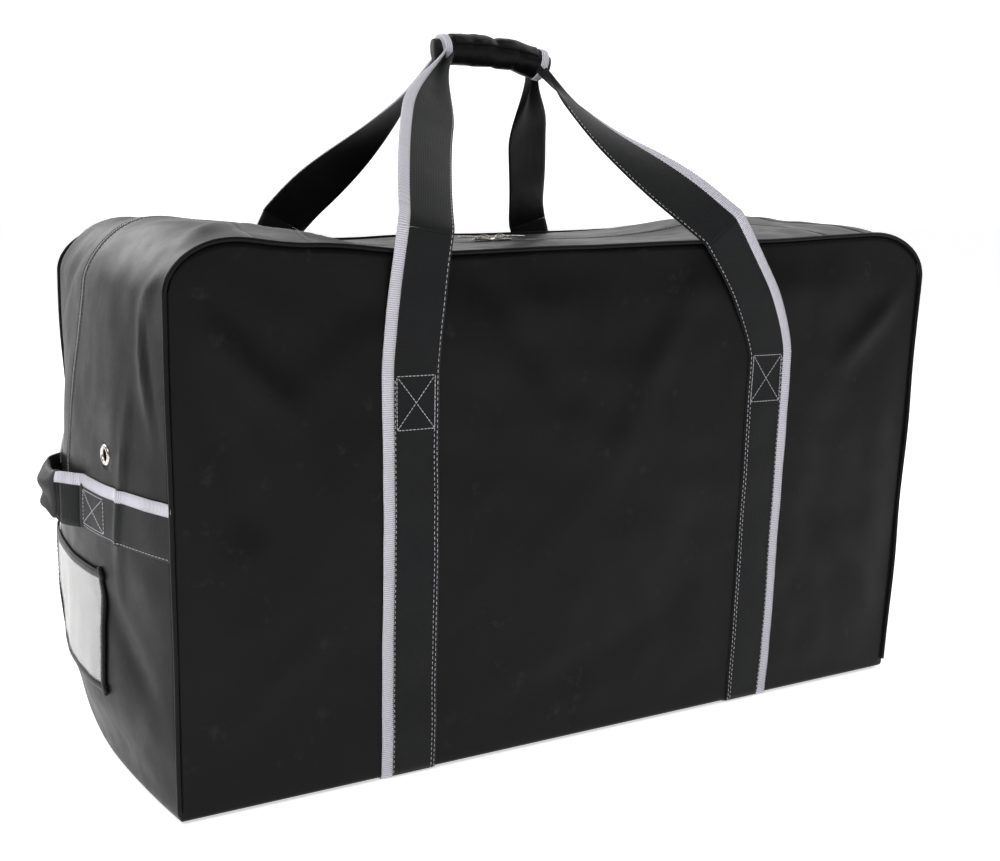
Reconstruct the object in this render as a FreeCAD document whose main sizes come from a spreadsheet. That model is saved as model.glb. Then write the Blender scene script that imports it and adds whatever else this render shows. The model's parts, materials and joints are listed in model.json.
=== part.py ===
import FreeCAD, Part
import os
import re
import Sketcher
from FreeCAD import Placement, Rotation, Vector

# Hockey equipment bag: a box-shaped vinyl duffel with a U-shaped zip, two carry straps that
# meet in one wrapped grip, and a webbing handle on each end.
# Millimetres. +X along the length, front face towards -Y, +Z up, origin on the floor.

SIZES = {
    # The bag's own box, measured over the seams.
    "bag_length": 880,
    "bag_depth": 460,
    "bag_height": 520,
    "corner_radius": 52,
    "end_bulge": 36,
    "vinyl_thickness": 2,
    "piping_diameter": 5,
    "piping_foot": 12,
    # Height at which the lower end panel meets the two gusset strips.
    "end_seam_height": 271,
    # Zip.
    "zip_slot": 10,
    "zip_tape_reach": 16,
    "zip_tape_thickness": 1,
    "coil_width": 3,
    "coil_spacing": 1.6,
    "stop_height": 5,
    "slider_length": 24,
    "slider_width": 11,
    "slider_plate": 1.5,
    "slider_parting": 1,
    "slider_clearance": 0.3,
    "bail_length": 11,
    "bail_height": 4.6,
    "bail_bar": 1.5,
    "bail_width": 2.4,
    "tab_length": 30,
    "tab_width": 8,
    "tab_thickness": 1.2,
    # Top flaps.
    "slider_park": 30,
    "flap_clearance": 0.5,
    "fold_gap": 1.5,
    # Carry straps and their handles.
    "strap_spacing": 434,
    "strap_width": 60,
    "strap_thickness": 2,
    "edge_tape_width": 10,
    "edge_tape_thickness": 0.8,
    "box_stitch_top": 392,
    "box_stitch_height": 50,
    "box_stitch_inset": 4,
    "thread_width": 0.8,
    "grip_height": 718,
    "grip_length": 130,
    "grip_radius": 17,
    "sleeve_thickness": 2,
    "bundle_radius": 14.5,
    "binding_width": 9,
    "binding_thickness": 1.2,
    "grip_flap_angle": 150,
    "grip_flap_thickness": 1.5,
    "sewn_gap": 0.5,
    "leg_tip_width": 16,
    "leg_tip_depth": 11,
    # End handles.
    "end_strap_top": 297,
    "end_strap_width": 51,
    "end_strap_sewn": 170,
    "end_handle_rise": 32,
    "end_handle_reach": 38,
    "wrap_reach": 30,
    "wrap_thickness": 3,
    # Name-card window on the left end.
    "window_top": 208,
    "window_height": 118,
    "window_width": 210,
    "window_binding": 7,
    "window_thickness": 0.8,
    "card_thickness": 0.8,
    "card_clearance": 0.3,
    # Vent grommets.
    "grommet_height": 320,
    "grommet_offset": 118,
    "grommet_hole": 5.5,
    "grommet_barrel": 6.5,
    "grommet_flange": 10,
    "grommet_flange_thickness": 0.8,
    "hole_clearance": 0.1,
}

LEFT, RIGHT = -1, 1
FRONT, BACK = -1, 1
SIDE_NAME = {LEFT: "left", RIGHT: "right"}
FACE_NAME = {FRONT: "front", BACK: "back"}
QUARTER_TURN = 1.5707963267948966
# The grip's closing flap starts high on the back and goes over the top.
FLAP_TURN = Rotation(Vector(1, 0, 0), 105)

# Formulas used in several places.
FAR = "(bag_length)"
BASE = "strap_thickness"
INNER_BASE = "(strap_thickness + vinyl_thickness)"
SEAM_Y = "(bag_depth/2)"
FACE_Y = "(bag_depth/2 + vinyl_thickness)"
SEWN_Y = "(bag_depth/2 + vinyl_thickness/2 - piping_diameter/2 - sewn_gap)"
FLAP_HALF = "(bag_length/2 - corner_radius - slider_park)"
CORNER_START = f"({FLAP_HALF} + flap_clearance)"
UNDER_TOP = "(bag_height - vinyl_thickness)"
# Where a leg gathers at the grip, its edge tape keeps to the outer third of the width.
TAPE_TIP = "2/3*leg_tip_width"
# A grommet's bore starts this far inside the wall and ends this far outside it.
BORE_REACH = "(4*vinyl_thickness)"

doc = FreeCAD.newDocument("hockey_equipment_bag")
sheet = doc.addObject("Spreadsheet::Sheet", "sizes")
for row, (alias, value) in enumerate(SIZES.items(), start=1):
    sheet.set(f"A{row}", alias)
    sheet.set(f"B{row}", str(value))
    sheet.setAlias(f"B{row}", alias)
doc.recompute()

NAME_PATTERN = re.compile(r"\b(" + "|".join(sorted(SIZES, key=len, reverse=True)) + r")\b")
nodes = []


def formula(text):
    """The text with each size's name turned into a reference to the sheet."""
    return NAME_PATTERN.sub(r"sizes.\1", str(text))


def bind(item, **formulas):
    """Bind properties of an object to formulas of the sheet's sizes."""
    for name, text in formulas.items():
        item.setExpression(name, formula(text))


def place(item, x=0, y=0, z=0):
    """Bind an object's position to formulas."""
    for axis, text in zip("xyz", (x, y, z)):
        item.setExpression(f"Placement.Base.{axis}", formula(text))


def node(item, name):
    """Keep an object as the sub-part of this name."""
    item.Label = name
    nodes.append(item)
    return item


def box(name, x, y, z):
    """A box between pairs of formulas: x, y and z are each (low, high)."""
    item = doc.addObject("Part::Box", name)
    bind(item, Length=f"({x[1]}) - ({x[0]})", Width=f"({y[1]}) - ({y[0]})",
         Height=f"({z[1]}) - ({z[0]})")
    place(item, x[0], y[0], z[0])
    return item


def span(side, low, high):
    """A range of formulas on one side of a middle plane, always low to high."""
    if side > 0:
        return (low, high)
    return (f"-({high})", f"-({low})")


def cut(name, base, tool):
    item = doc.addObject("Part::Cut", name)
    item.Base = base
    item.Tool = tool
    return item


def common(name, base, tool):
    item = doc.addObject("Part::Common", name)
    item.Base = base
    item.Tool = tool
    return item


def fuse(name, shapes):
    item = doc.addObject("Part::MultiFuse", name)
    item.Shapes = shapes
    return item


def group(name, items):
    """Several separate solids kept as one object."""
    item = doc.addObject("Part::Compound", name)
    item.Links = items
    return item


def cylinder(name, radius, height, rotation=Rotation(), angle=360):
    item = doc.addObject("Part::Cylinder", name)
    item.Placement = Placement(Vector(), rotation)
    bind(item, Radius=radius, Height=height, Angle=angle)
    return item


def arc(centre_x, centre_z, radius, start):
    """A quarter circle that begins at a quarter-turn count."""
    circle = Part.Circle(Vector(centre_x, centre_z, 0), Vector(0, 0, 1), radius)
    return Part.ArcOfCircle(circle, start * QUARTER_TURN, (start + 1) * QUARTER_TURN)


def outline(name, half_length, top, radius, foot, y, closed=True):
    """A sketch of the bag's side view: upright ends and rounded top corners."""
    sketch = doc.addObject("Sketcher::SketchObject", name)
    sketch.Placement = Placement(Vector(), Rotation(Vector(1, 0, 0), 90))
    # A rough shape to start from, which the constraints then pull to size.
    a, b, r = 400, 500, 50
    right = sketch.addGeometry(Part.LineSegment(Vector(a, 0, 0), Vector(a, b - r, 0)))
    right_arc = sketch.addGeometry(arc(a - r, b - r, r, 0))
    top_line = sketch.addGeometry(Part.LineSegment(Vector(a - r, b, 0), Vector(r - a, b, 0)))
    left_arc = sketch.addGeometry(arc(r - a, b - r, r, 1))
    left = sketch.addGeometry(Part.LineSegment(Vector(-a, b - r, 0), Vector(-a, 0, 0)))
    run = [right, right_arc, top_line, left_arc, left]
    for first, second in zip(run, run[1:]):
        sketch.addConstraint(Sketcher.Constraint("Tangent", first, 2, second, 1))
    for upright in (right, left):
        sketch.addConstraint(Sketcher.Constraint("Vertical", upright))
    sketch.addConstraint(Sketcher.Constraint("Horizontal", top_line))
    sketch.addConstraint(Sketcher.Constraint("Equal", right_arc, left_arc))
    sketch.addConstraint(Sketcher.Constraint("Symmetric", right, 1, left, 2, -2))
    if closed:
        foot_line = sketch.addGeometry(Part.LineSegment(Vector(-a, 0, 0), Vector(a, 0, 0)))
        sketch.addConstraint(Sketcher.Constraint("Coincident", left, 2, foot_line, 1))
        sketch.addConstraint(Sketcher.Constraint("Coincident", foot_line, 2, right, 1))
    sized = [
        (("Radius", right_arc, r), radius),
        (("DistanceX", -1, 1, right, 1, a), half_length),
        (("DistanceY", -1, 1, top_line, 1, b), top),
        (("DistanceY", -1, 1, right, 1, 1), foot),
    ]
    for constraint, text in sized:
        index = sketch.addConstraint(Sketcher.Constraint(*constraint))
        sketch.setExpression(f"Constraints[{index}]", formula(text))
    sketch.setExpression("Placement.Base.y", formula(y))
    return sketch


def tube_solid(name, grow, foot):
    """The bag's outside as a solid, grown outwards; its ends bulge at mid depth."""
    sections = []
    for part, share in ((FRONT, 0), (0, 1), (BACK, 0)):
        sections.append(outline(
            f"{name}_outline", f"bag_length/2 + {share}*end_bulge + {grow}", f"bag_height + {grow}",
            f"corner_radius + {grow}", foot, f"{part}*bag_depth/2"))
    solid = doc.addObject("Part::Loft", name)
    solid.Sections = sections
    solid.Solid = True
    return solid


def layer(name, inner, outer, foot=BASE, inner_foot=BASE):
    """The skin between two growths of the bag's outside, open at the front and back."""
    return cut(name, tube_solid(f"{name}_outer", outer, foot), tube_solid(f"{name}_inner", inner, inner_foot))


def panels():
    """The two flat faces, the bottom and the lower end panels."""
    for face in (FRONT, BACK):
        name = FACE_NAME[face]
        shape = outline(f"{name}_panel_outline", "bag_length/2", "bag_height", "corner_radius", BASE,
                        f"{face}*bag_depth/2")
        plate = doc.addObject("Part::Extrusion", f"{name}_panel")
        plate.Base = shape
        plate.DirMode = "Custom"
        plate.Dir = Vector(0, face, 0)
        plate.Solid = True
        bind(plate, LengthFwd="vinyl_thickness")
        node(plate, f"{name}_panel")
    floor = box("bottom_zone", (f"-{FAR}", FAR), (f"-{SEAM_Y}", SEAM_Y), (BASE, INNER_BASE))
    node(common("bottom_panel", wall, floor), "bottom_panel")
    for side in (LEFT, RIGHT):
        name = f"{SIDE_NAME[side]}_end_panel"
        zone = box(f"{name}_zone", span(side, "bag_length/2 - vinyl_thickness", FAR),
                   (f"-{SEAM_Y}", SEAM_Y), (INNER_BASE, "end_seam_height"))
        node(common(name, wall, zone), name)


def gusset_ends():
    """The four upper end strips, each running up an end and over the rounded corner."""
    for side in (LEFT, RIGHT):
        for face in (FRONT, BACK):
            name = f"{SIDE_NAME[side]}_{FACE_NAME[face]}_gusset"
            zone = box(f"{name}_zone", span(side, CORNER_START, FAR), span(face, "zip_slot/2", SEAM_Y),
                       ("end_seam_height", f"bag_height + {FAR}"))
            strip = common(f"{name}_strip", wall, zone)
            if (side, face) in GROMMETS:
                strip = cut(name, strip, grommet_bore(side, face))
            node(strip, name)


def top_flaps():
    """The stretch of each gusset strip between the corners, which folds in when the zip is open."""
    for face in (FRONT, BACK):
        name = f"{FACE_NAME[face]}_top_flap"
        node(box(name, (f"-{FLAP_HALF}", FLAP_HALF), span(face, "zip_slot/2", f"{SEAM_Y} - fold_gap"),
                 (UNDER_TOP, "bag_height")), name)


def piping():
    """The round cord-filled edging along the two U-shaped seams."""
    for face in (FRONT, BACK):
        name = f"{FACE_NAME[face]}_piping"
        path = outline(f"{name}_path", "bag_length/2 + piping_diameter/2", "bag_height + piping_diameter/2",
                       "corner_radius + piping_diameter/2", "piping_foot",
                       f"{face}*(bag_depth/2 + vinyl_thickness/2)", closed=False)
        section = doc.addObject("Part::Circle", f"{name}_section")
        bind(section, Radius="piping_diameter/2")
        place(section, "bag_length/2 + piping_diameter/2", f"{face}*(bag_depth/2 + vinyl_thickness/2)", "piping_foot")
        cord = doc.addObject("Part::Sweep", name)
        cord.Sections = [section]
        cord.Spine = (path, [f"Edge{number}" for number in range(1, 6)])
        cord.Solid = True
        node(cord, name)


def zip_parts():
    """Tapes and coils on the flaps, their fixed ends, and the bottom stops."""
    tape_z = (f"{UNDER_TOP} - zip_tape_thickness", UNDER_TOP)
    coil_y = ("coil_spacing/2", "coil_spacing/2 + coil_width")
    tape_y = ("coil_spacing/2", "zip_tape_reach")
    flap_x = (f"-{FLAP_HALF}", FLAP_HALF)
    for face in (FRONT, BACK):
        tape = f"{FACE_NAME[face]}_zip_tape"
        coil = f"{FACE_NAME[face]}_zip_coil"
        node(box(tape, flap_x, span(face, *tape_y), tape_z), tape)
        node(box(coil, flap_x, span(face, *coil_y), (UNDER_TOP, "bag_height")), coil)
    tapes, coils, stops = [], [], []
    for side in (LEFT, RIGHT):
        end_x = span(side, CORNER_START, FAR)
        for kept, skin, reach, foot in ((tapes, tape_layer, tape_y, "end_seam_height"),
                                        (coils, wall, coil_y, "end_seam_height + stop_height")):
            for face in (FRONT, BACK):
                zone = box("end_zip_zone", end_x, span(face, *reach), (foot, f"bag_height + {FAR}"))
                kept.append(common("end_zip_run", skin, zone))
        stop_zone = box("stop_zone", end_x, ("-(coil_spacing/2 + coil_width)", "coil_spacing/2 + coil_width"),
                        ("end_seam_height", "end_seam_height + stop_height"))
        stops.append(common("stop", wall, stop_zone))
    node(group("end_zip_tapes", tapes), "end_zip_tapes")
    node(group("end_zip_coils", coils), "end_zip_coils")
    node(group("zip_bottom_stops", stops), "zip_bottom_stops")


def sliders():
    """Each slider: a plate over the coils, a blade between them, a bail on top, and its pull tab."""
    plate_low = "bag_height + slider_clearance"
    plate_top = "(bag_height + slider_clearance + slider_plate)"
    for side in (LEFT, RIGHT):
        name = f"{SIDE_NAME[side]}_zip_slider"
        centre = f"({side}*(slider_parting/2 + slider_length/2))"
        plate = box(f"{name}_plate", (f"{centre} - slider_length/2", f"{centre} + slider_length/2"),
                    ("-slider_width/2", "slider_width/2"), (plate_low, plate_top))
        blade = box(f"{name}_blade", (f"{centre} - slider_length/6", f"{centre} + slider_length/6"),
                    ("-coil_spacing/2 + slider_clearance", "coil_spacing/2 - slider_clearance"),
                    (UNDER_TOP, plate_low))
        arch = box(f"{name}_arch", (f"{centre} - bail_length/2", f"{centre} + bail_length/2"),
                   ("-bail_width/2", "bail_width/2"), (plate_top, f"{plate_top} + bail_height"))
        eye = box(f"{name}_eye", (f"{centre} - bail_length/2 + bail_bar", f"{centre} + bail_length/2 - bail_bar"),
                  ("-bail_width", "bail_width"), (plate_top, f"{plate_top} + bail_height - bail_bar"))
        node(fuse(name, [plate, blade, cut(f"{name}_bail", arch, eye)]), name)
        pull_tab(side, centre, plate_top)


def pull_tab(side, centre, plate_top):
    """A flat tab whose end rod lies in the slider's bail, with an arm on each side of the bail."""
    name = f"{SIDE_NAME[side]}_pull_tab"
    low, high = (f"{plate_top} + slider_clearance", f"{plate_top} + slider_clearance + tab_thickness")
    rod = box(f"{name}_rod", (f"{centre} - tab_thickness/2", f"{centre} + tab_thickness/2"),
              ("-tab_width/2", "tab_width/2"), (low, high))
    reach = "(bail_length/2 + bail_bar + slider_clearance)"
    arms = [box(f"{name}_arm", span(side, f"{side}*{centre}", f"{side}*{centre} + {reach} + tab_thickness"),
                span(half, "bail_width/2 + slider_clearance", "tab_width/2"), (low, high))
            for half in (FRONT, BACK)]
    blade = box(f"{name}_blade", span(side, f"{side}*{centre} + {reach}", f"{side}*{centre} + tab_length"),
                ("-tab_width/2", "tab_width/2"), (low, high))
    node(fuse(name, [rod, blade] + arms), name)


def carry_straps():
    """Each strap's runs up the front, under the bottom and up the back, with its edge tape."""
    outer = f"({FACE_Y} + strap_thickness)"
    for side in (LEFT, RIGHT):
        strap_x = span(side, "strap_spacing/2 - strap_width/2", "strap_spacing/2 + strap_width/2")
        for face in (FRONT, BACK):
            name = f"{SIDE_NAME[side]}_{FACE_NAME[face]}_strap"
            node(box(name, strap_x, span(face, FACE_Y, outer), (0, "bag_height - sewn_gap")), name)
        name = f"{SIDE_NAME[side]}_bottom_strap"
        node(box(name, strap_x, (f"-{FACE_Y}", FACE_Y), (0, "strap_thickness")), name)
    tapes, crosses = [], []
    tape_x = ("strap_spacing/2 + strap_width/2 - edge_tape_width", "strap_spacing/2 + strap_width/2")
    for face in (FRONT, BACK):
        tape_y = span(face, outer, f"{outer} + edge_tape_thickness")
        for side in (LEFT, RIGHT):
            tapes.append(box("strap_tape", span(side, *tape_x), tape_y, ("sewn_gap", "bag_height - sewn_gap")))
            crosses.append(box_stitch(side, face, outer))
    node(group("strap_edge_tapes", tapes), "strap_edge_tapes")
    node(group("strap_box_stitching", crosses), "strap_box_stitching")


def box_stitch(side, face, outer):
    """One square of stitching with its two diagonals, lying on a strap."""
    y = span(face, outer, f"{outer} + thread_width")
    width = "(strap_width - edge_tape_width - 2*box_stitch_inset)"
    inner_x = "(strap_spacing/2 - strap_width/2 + box_stitch_inset)"
    outer_x = "(strap_spacing/2 + strap_width/2 - edge_tape_width - box_stitch_inset)"
    low, high = "(box_stitch_top - box_stitch_height)", "box_stitch_top"
    bars = [box("row", span(side, inner_x, outer_x), y, z)
            for z in ((low, f"{low} + thread_width"), (f"{high} - thread_width", high))]
    bars += [box("row", span(side, *x), y, (low, high))
             for x in ((inner_x, f"{inner_x} + thread_width"), (f"{outer_x} - thread_width", outer_x))]
    diagonal = f"sqrt({width}^2 + box_stitch_height^2)"
    for lean in (1, -1):
        bar = doc.addObject("Part::Box", "diagonal")
        bind(bar, Length=f"{diagonal} - 2*thread_width", Width="thread_width", Height="thread_width")
        start_x = inner_x if side > 0 else f"-({outer_x})"
        start_z = low if lean < 0 else high
        start = f"vector({start_x} + thread_width/2; {y[0]}; {start_z} - {lean}*thread_width)"
        turn = f"rotation(vector(0; 1; 0); {lean}*atan(box_stitch_height/{width}))"
        bar.setExpression("Placement", formula(f"placement({start}; {turn})"))
        bars.append(bar)
    return fuse("box_stitch", bars)


def handle_legs():
    """The four free strap legs from the top seams to the grip, and the tape along their edges."""
    tapes = []
    foot_z = "(bag_height + piping_diameter + sewn_gap)"
    tip_z = "(grip_height + bundle_radius/2)"
    for side in (LEFT, RIGHT):
        for face in (FRONT, BACK):
            name = f"{SIDE_NAME[side]}_{FACE_NAME[face]}_leg"
            foot_x = span(side, "strap_spacing/2 - strap_width/2", "strap_spacing/2 + strap_width/2")
            tip_x = span(side, "grip_length/2 + sewn_gap", "grip_length/2 + sewn_gap + leg_tip_width")
            foot_y = span(face, "bag_depth/2", "bag_depth/2 + strap_thickness")
            tip_y = span(face, "sewn_gap", "sewn_gap + leg_tip_depth")
            node(leg(name, foot_x, foot_y, foot_z, tip_x, tip_y, tip_z), name)
            tape_foot_x = span(side, "strap_spacing/2 + strap_width/2 - edge_tape_width",
                               "strap_spacing/2 + strap_width/2")
            tape_tip_x = span(side, f"grip_length/2 + sewn_gap + {TAPE_TIP}",
                              "grip_length/2 + sewn_gap + leg_tip_width")
            tape_foot_y = span(face, "bag_depth/2 + strap_thickness",
                               "bag_depth/2 + strap_thickness + edge_tape_thickness")
            tape_tip_y = span(face, "sewn_gap + leg_tip_depth", "sewn_gap + leg_tip_depth + edge_tape_thickness")
            tapes.append(leg("leg_tape", tape_foot_x, tape_foot_y, foot_z, tape_tip_x, tape_tip_y, tip_z))
    node(group("leg_edge_tapes", tapes), "leg_edge_tapes")


def leg(name, foot_x, foot_y, foot_z, tip_x, tip_y, tip_z):
    """A straight tapering strip between two level rectangles, as a wedge stood on its end."""
    item = doc.addObject("Part::Wedge", name)
    item.Placement = Placement(Vector(), Rotation(Vector(1, 0, 0), 90))
    bind(item, Xmin=foot_x[0], Xmax=foot_x[1], X2min=tip_x[0], X2max=tip_x[1], Ymin=foot_z, Ymax=tip_z,
         Zmin=f"-({foot_y[1]})", Zmax=f"-({foot_y[0]})", Z2min=f"-({tip_y[1]})", Z2max=f"-({tip_y[0]})")
    return item


def grip():
    """The wrapped grip: the bunched straps, the sleeve, its end bindings and its closing flap."""
    along_x = Rotation(Vector(0, 1, 0), 90)
    half = "(grip_length/2)"

    def rod(name, radius, low, high, angle=360, turn=Rotation()):
        item = cylinder(name, radius, f"({high}) - ({low})", turn.multiply(along_x), angle)
        place(item, low, 0, "grip_height")
        return item

    node(rod("strap_bundle", "bundle_radius", f"-{half}", half), "strap_bundle")
    inner = "(grip_radius - sleeve_thickness)"
    node(cut("grip_sleeve", rod("sleeve_outside", "grip_radius", f"-{half}", half),
             rod("sleeve_inside", inner, f"-{half}", half)), "grip_sleeve")
    rings = []
    for side in (LEFT, RIGHT):
        ends = span(side, f"{half} - binding_width", half)
        rings.append(cut("ring", rod("ring_outside", "grip_radius + binding_thickness", *ends),
                         rod("ring_inside", "grip_radius", *ends)))
    node(group("grip_end_bindings", rings), "grip_end_bindings")
    reach = f"({half} - binding_width - sewn_gap)"
    flap_inner = "(grip_radius + slider_clearance)"
    flap_outer = f"({flap_inner} + grip_flap_thickness)"
    node(cut("grip_flap", rod("flap_outside", flap_outer, f"-{reach}", reach, "grip_flap_angle", FLAP_TURN),
             rod("flap_inside", flap_inner, f"-{reach}", reach, "grip_flap_angle", FLAP_TURN)), "grip_flap")


def end_handles():
    """Each end's webbing: two sewn stretches, the free loop between them, its wrap and edge tape."""
    webbing_z = ("end_strap_top - end_strap_width", "end_strap_top")
    tape_z = ("end_strap_top - edge_tape_width", "end_strap_top")
    free = f"({SEAM_Y} - end_strap_sewn)"
    # The end's outside, followed from its crown to where the free loop begins.
    fall = f"(end_bulge*({free}/{SEAM_Y})^2)"
    start_x = f"(bag_length/2 + end_bulge - {fall} + strap_thickness + 2*sewn_gap)"
    rise = "end_handle_rise"
    radius = f"(({free}^2 + {rise}^2)/(2*{rise}))"
    for side in (LEFT, RIGHT):
        name = SIDE_NAME[side]
        sewn_x = span(side, "bag_length/2 - vinyl_thickness", FAR)
        sewn = [common("sewn", webbing_layer, box("sewn_zone", sewn_x, span(face, free, SEWN_Y), webbing_z))
                for face in (FRONT, BACK)]
        node(group(f"{name}_end_strap", sewn), f"{name}_end_strap")
        tapes = [common("sewn_tape", tape_on_webbing_layer,
                        box("sewn_tape_zone", sewn_x, span(face, free, SEWN_Y), tape_z))
                 for face in (FRONT, BACK)]
        centre_x = f"({start_x} + {rise} - {radius})"

        def loop(label, inner, outer, z, low, high):
            """The stretch of the loop between two distances from the middle, as one or two solids."""
            bend = cut(label, cylinder_at(side, centre_x, outer, z), cylinder_at(side, centre_x, inner, z))
            pieces = []
            zones = [("-(" + high + ")", high)] if low == "0" else [span(face, low, high) for face in (FRONT, BACK)]
            for zone_y in zones:
                zone = box(f"{label}_zone", span(side, centre_x, FAR), zone_y, z)
                pieces.append(common(f"{label}_piece", bend, zone))
            return pieces

        inner, outer = f"({radius} - strap_thickness)", radius
        tape_outer = f"({radius} + edge_tape_thickness)"
        root = f"({free} - sewn_gap)"
        roots = loop("root", inner, outer, webbing_z, "end_handle_reach", root)
        node(group(f"{name}_end_handle_roots", roots), f"{name}_end_handle_roots")
        node(loop("handle", inner, outer, webbing_z, "0", "end_handle_reach - sewn_gap")[0], f"{name}_end_handle")
        tapes += loop("root_tape", outer, tape_outer, tape_z, "end_handle_reach", root)
        node(group(f"{name}_end_edge_tape", tapes), f"{name}_end_edge_tape")
        handle_tape = loop("handle_tape", outer, tape_outer, tape_z, "wrap_reach", "end_handle_reach - sewn_gap")
        node(group(f"{name}_handle_edge_tape", handle_tape), f"{name}_handle_edge_tape")
        wrap_z = (f"{webbing_z[0]} - wrap_thickness", f"{webbing_z[1]} + wrap_thickness")
        block = loop("wrap_block", f"({inner} - wrap_thickness)", f"({outer} + wrap_thickness)", wrap_z,
                     "0", "wrap_reach")[0]
        hollow = loop("wrap_hollow", inner, outer, webbing_z, "0", "wrap_reach")[0]
        node(cut(f"{name}_end_handle_wrap", block, hollow), f"{name}_end_handle_wrap")


def cylinder_at(side, centre_x, radius, z):
    item = cylinder("bend", radius, f"({z[1]}) - ({z[0]})")
    place(item, f"{side}*{centre_x}", 0, z[0])
    return item


def card_window():
    """The name-card pocket on the left end: card, clear window and its binding."""
    low, high = "(window_top - window_height)", "window_top"
    edge = "(window_width/2)"
    inside = f"({edge} - window_binding)"
    end_x = span(LEFT, "bag_length/2 - vinyl_thickness", FAR)

    def zone(y, z):
        return box("window_zone", end_x, y, z)

    clear_z = (f"{low} + window_binding", f"{high} - window_binding")
    card_z = (f"{clear_z[0]} + card_clearance", high)
    card_y = (f"-({inside} - card_clearance)", f"{inside} - card_clearance")
    node(common("name_card", card_layer, zone(card_y, card_z)), "name_card")
    node(common("card_window", window_layer, zone((f"-{inside}", inside), clear_z)), "card_window")
    outer_zone = zone((f"-{edge}", edge), (low, f"{high} - window_binding"))
    inner_zone = zone((f"-{inside}", inside), (f"{low} + window_binding", high))
    node(common("card_window_binding", binding_layer, cut("binding_zone", outer_zone, inner_zone)),
         "card_window_binding")
    node(common("card_window_top_binding", top_binding_layer, zone((f"-{edge}", edge), (f"{high} - window_binding", high))),
         "card_window_top_binding")


def grommet_rod(name, side, face, radius, low, high):
    """A short cylinder about a grommet's axis, between two distances out of the wall's outside."""
    lean = "atan(2*end_bulge*grommet_offset/(bag_depth/2)^2)"
    crown_x = "(bag_length/2 + end_bulge - end_bulge*(grommet_offset/(bag_depth/2))^2)"
    out_x, out_y = f"({side}*cos({lean}))", f"({face}*sin({lean}))"
    item = cylinder(name, radius, f"({high}) - ({low})")
    start = (f"vector({side}*{crown_x} + ({low})*{out_x}; {face}*grommet_offset + ({low})*{out_y}; "
             "grommet_height)")
    turn = f"rotation(vector(-1*{out_y}; {out_x}; 0); 90)"
    item.setExpression("Placement", formula(f"placement({start}; {turn})"))
    return item


def grommet_bore(side, face):
    return grommet_rod("grommet_bore", side, face, "grommet_barrel + hole_clearance",
                       f"-1*{BORE_REACH}", BORE_REACH)


def grommets():
    """The nickel eyelets through the ends and the washers that clench them inside."""
    eyelets, washers = [], []
    back = "-(vinyl_thickness + hole_clearance)"
    washer_back = f"({back} - grommet_flange_thickness)"
    for side, face in GROMMETS:
        barrel = grommet_rod("barrel", side, face, "grommet_barrel", washer_back, "hole_clearance")
        flange = grommet_rod("flange", side, face, "grommet_flange", "hole_clearance",
                             "hole_clearance + grommet_flange_thickness")
        hole = grommet_rod("hole", side, face, "grommet_hole", f"-1*{BORE_REACH}", BORE_REACH)
        eyelets.append(cut("eyelet", fuse("eyelet_body", [barrel, flange]), hole))
        washer = grommet_rod("washer_plate", side, face, "grommet_flange", washer_back, back)
        washer_hole = grommet_rod("washer_hole", side, face, "grommet_barrel + hole_clearance",
                                  f"-1*{BORE_REACH}", BORE_REACH)
        washers.append(cut("washer", washer, washer_hole))
    node(group("grommets", eyelets), "grommets")
    node(group("grommet_washers", washers), "grommet_washers")


# One vent grommet on each end, at corners that face each other across the bag.
GROMMETS = ((LEFT, FRONT), (RIGHT, BACK))

wall = layer("wall", "-vinyl_thickness", 0, BASE, INNER_BASE)
tape_layer = layer("tape_layer", "-(vinyl_thickness + zip_tape_thickness)", "-vinyl_thickness")
webbing_layer = layer("webbing_layer", 0, "strap_thickness")
tape_on_webbing_layer = layer("tape_on_webbing_layer", "strap_thickness",
                              "(strap_thickness + edge_tape_thickness)")
card_out = "(card_clearance + card_thickness)"
window_in = "(2*card_clearance + card_thickness)"
window_out = "(2*card_clearance + card_thickness + window_thickness)"
card_layer = layer("card_layer", "card_clearance", card_out)
window_layer = layer("window_layer", window_in, window_out)
binding_layer = layer("binding_layer", 0, f"({window_out} + window_thickness)")
top_binding_layer = layer("top_binding_layer", window_in, f"({window_out} + window_thickness)")

panels()
gusset_ends()
top_flaps()
piping()
zip_parts()
sliders()
carry_straps()
handle_legs()
grip()
end_handles()
card_window()
grommets()
doc.recompute()

for item in doc.Objects:
    if "Invalid" in item.State or "Error" in item.State:
        raise RuntimeError(f"{item.Label} failed: {item.State}")
os.makedirs("parts", exist_ok=True)
for item in nodes:
    shape = item.Shape
    if shape.isNull() or not shape.isValid() or shape.Volume <= 0:
        raise RuntimeError(f"{item.Label} has no valid shape")
    shape.exportStep(f"parts/{item.Label}.step")
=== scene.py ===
import json
import math

import bmesh
import bpy
from bpy.props import FloatProperty, StringProperty, PointerProperty
from mathutils import Matrix, Quaternion, Vector, noise


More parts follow.
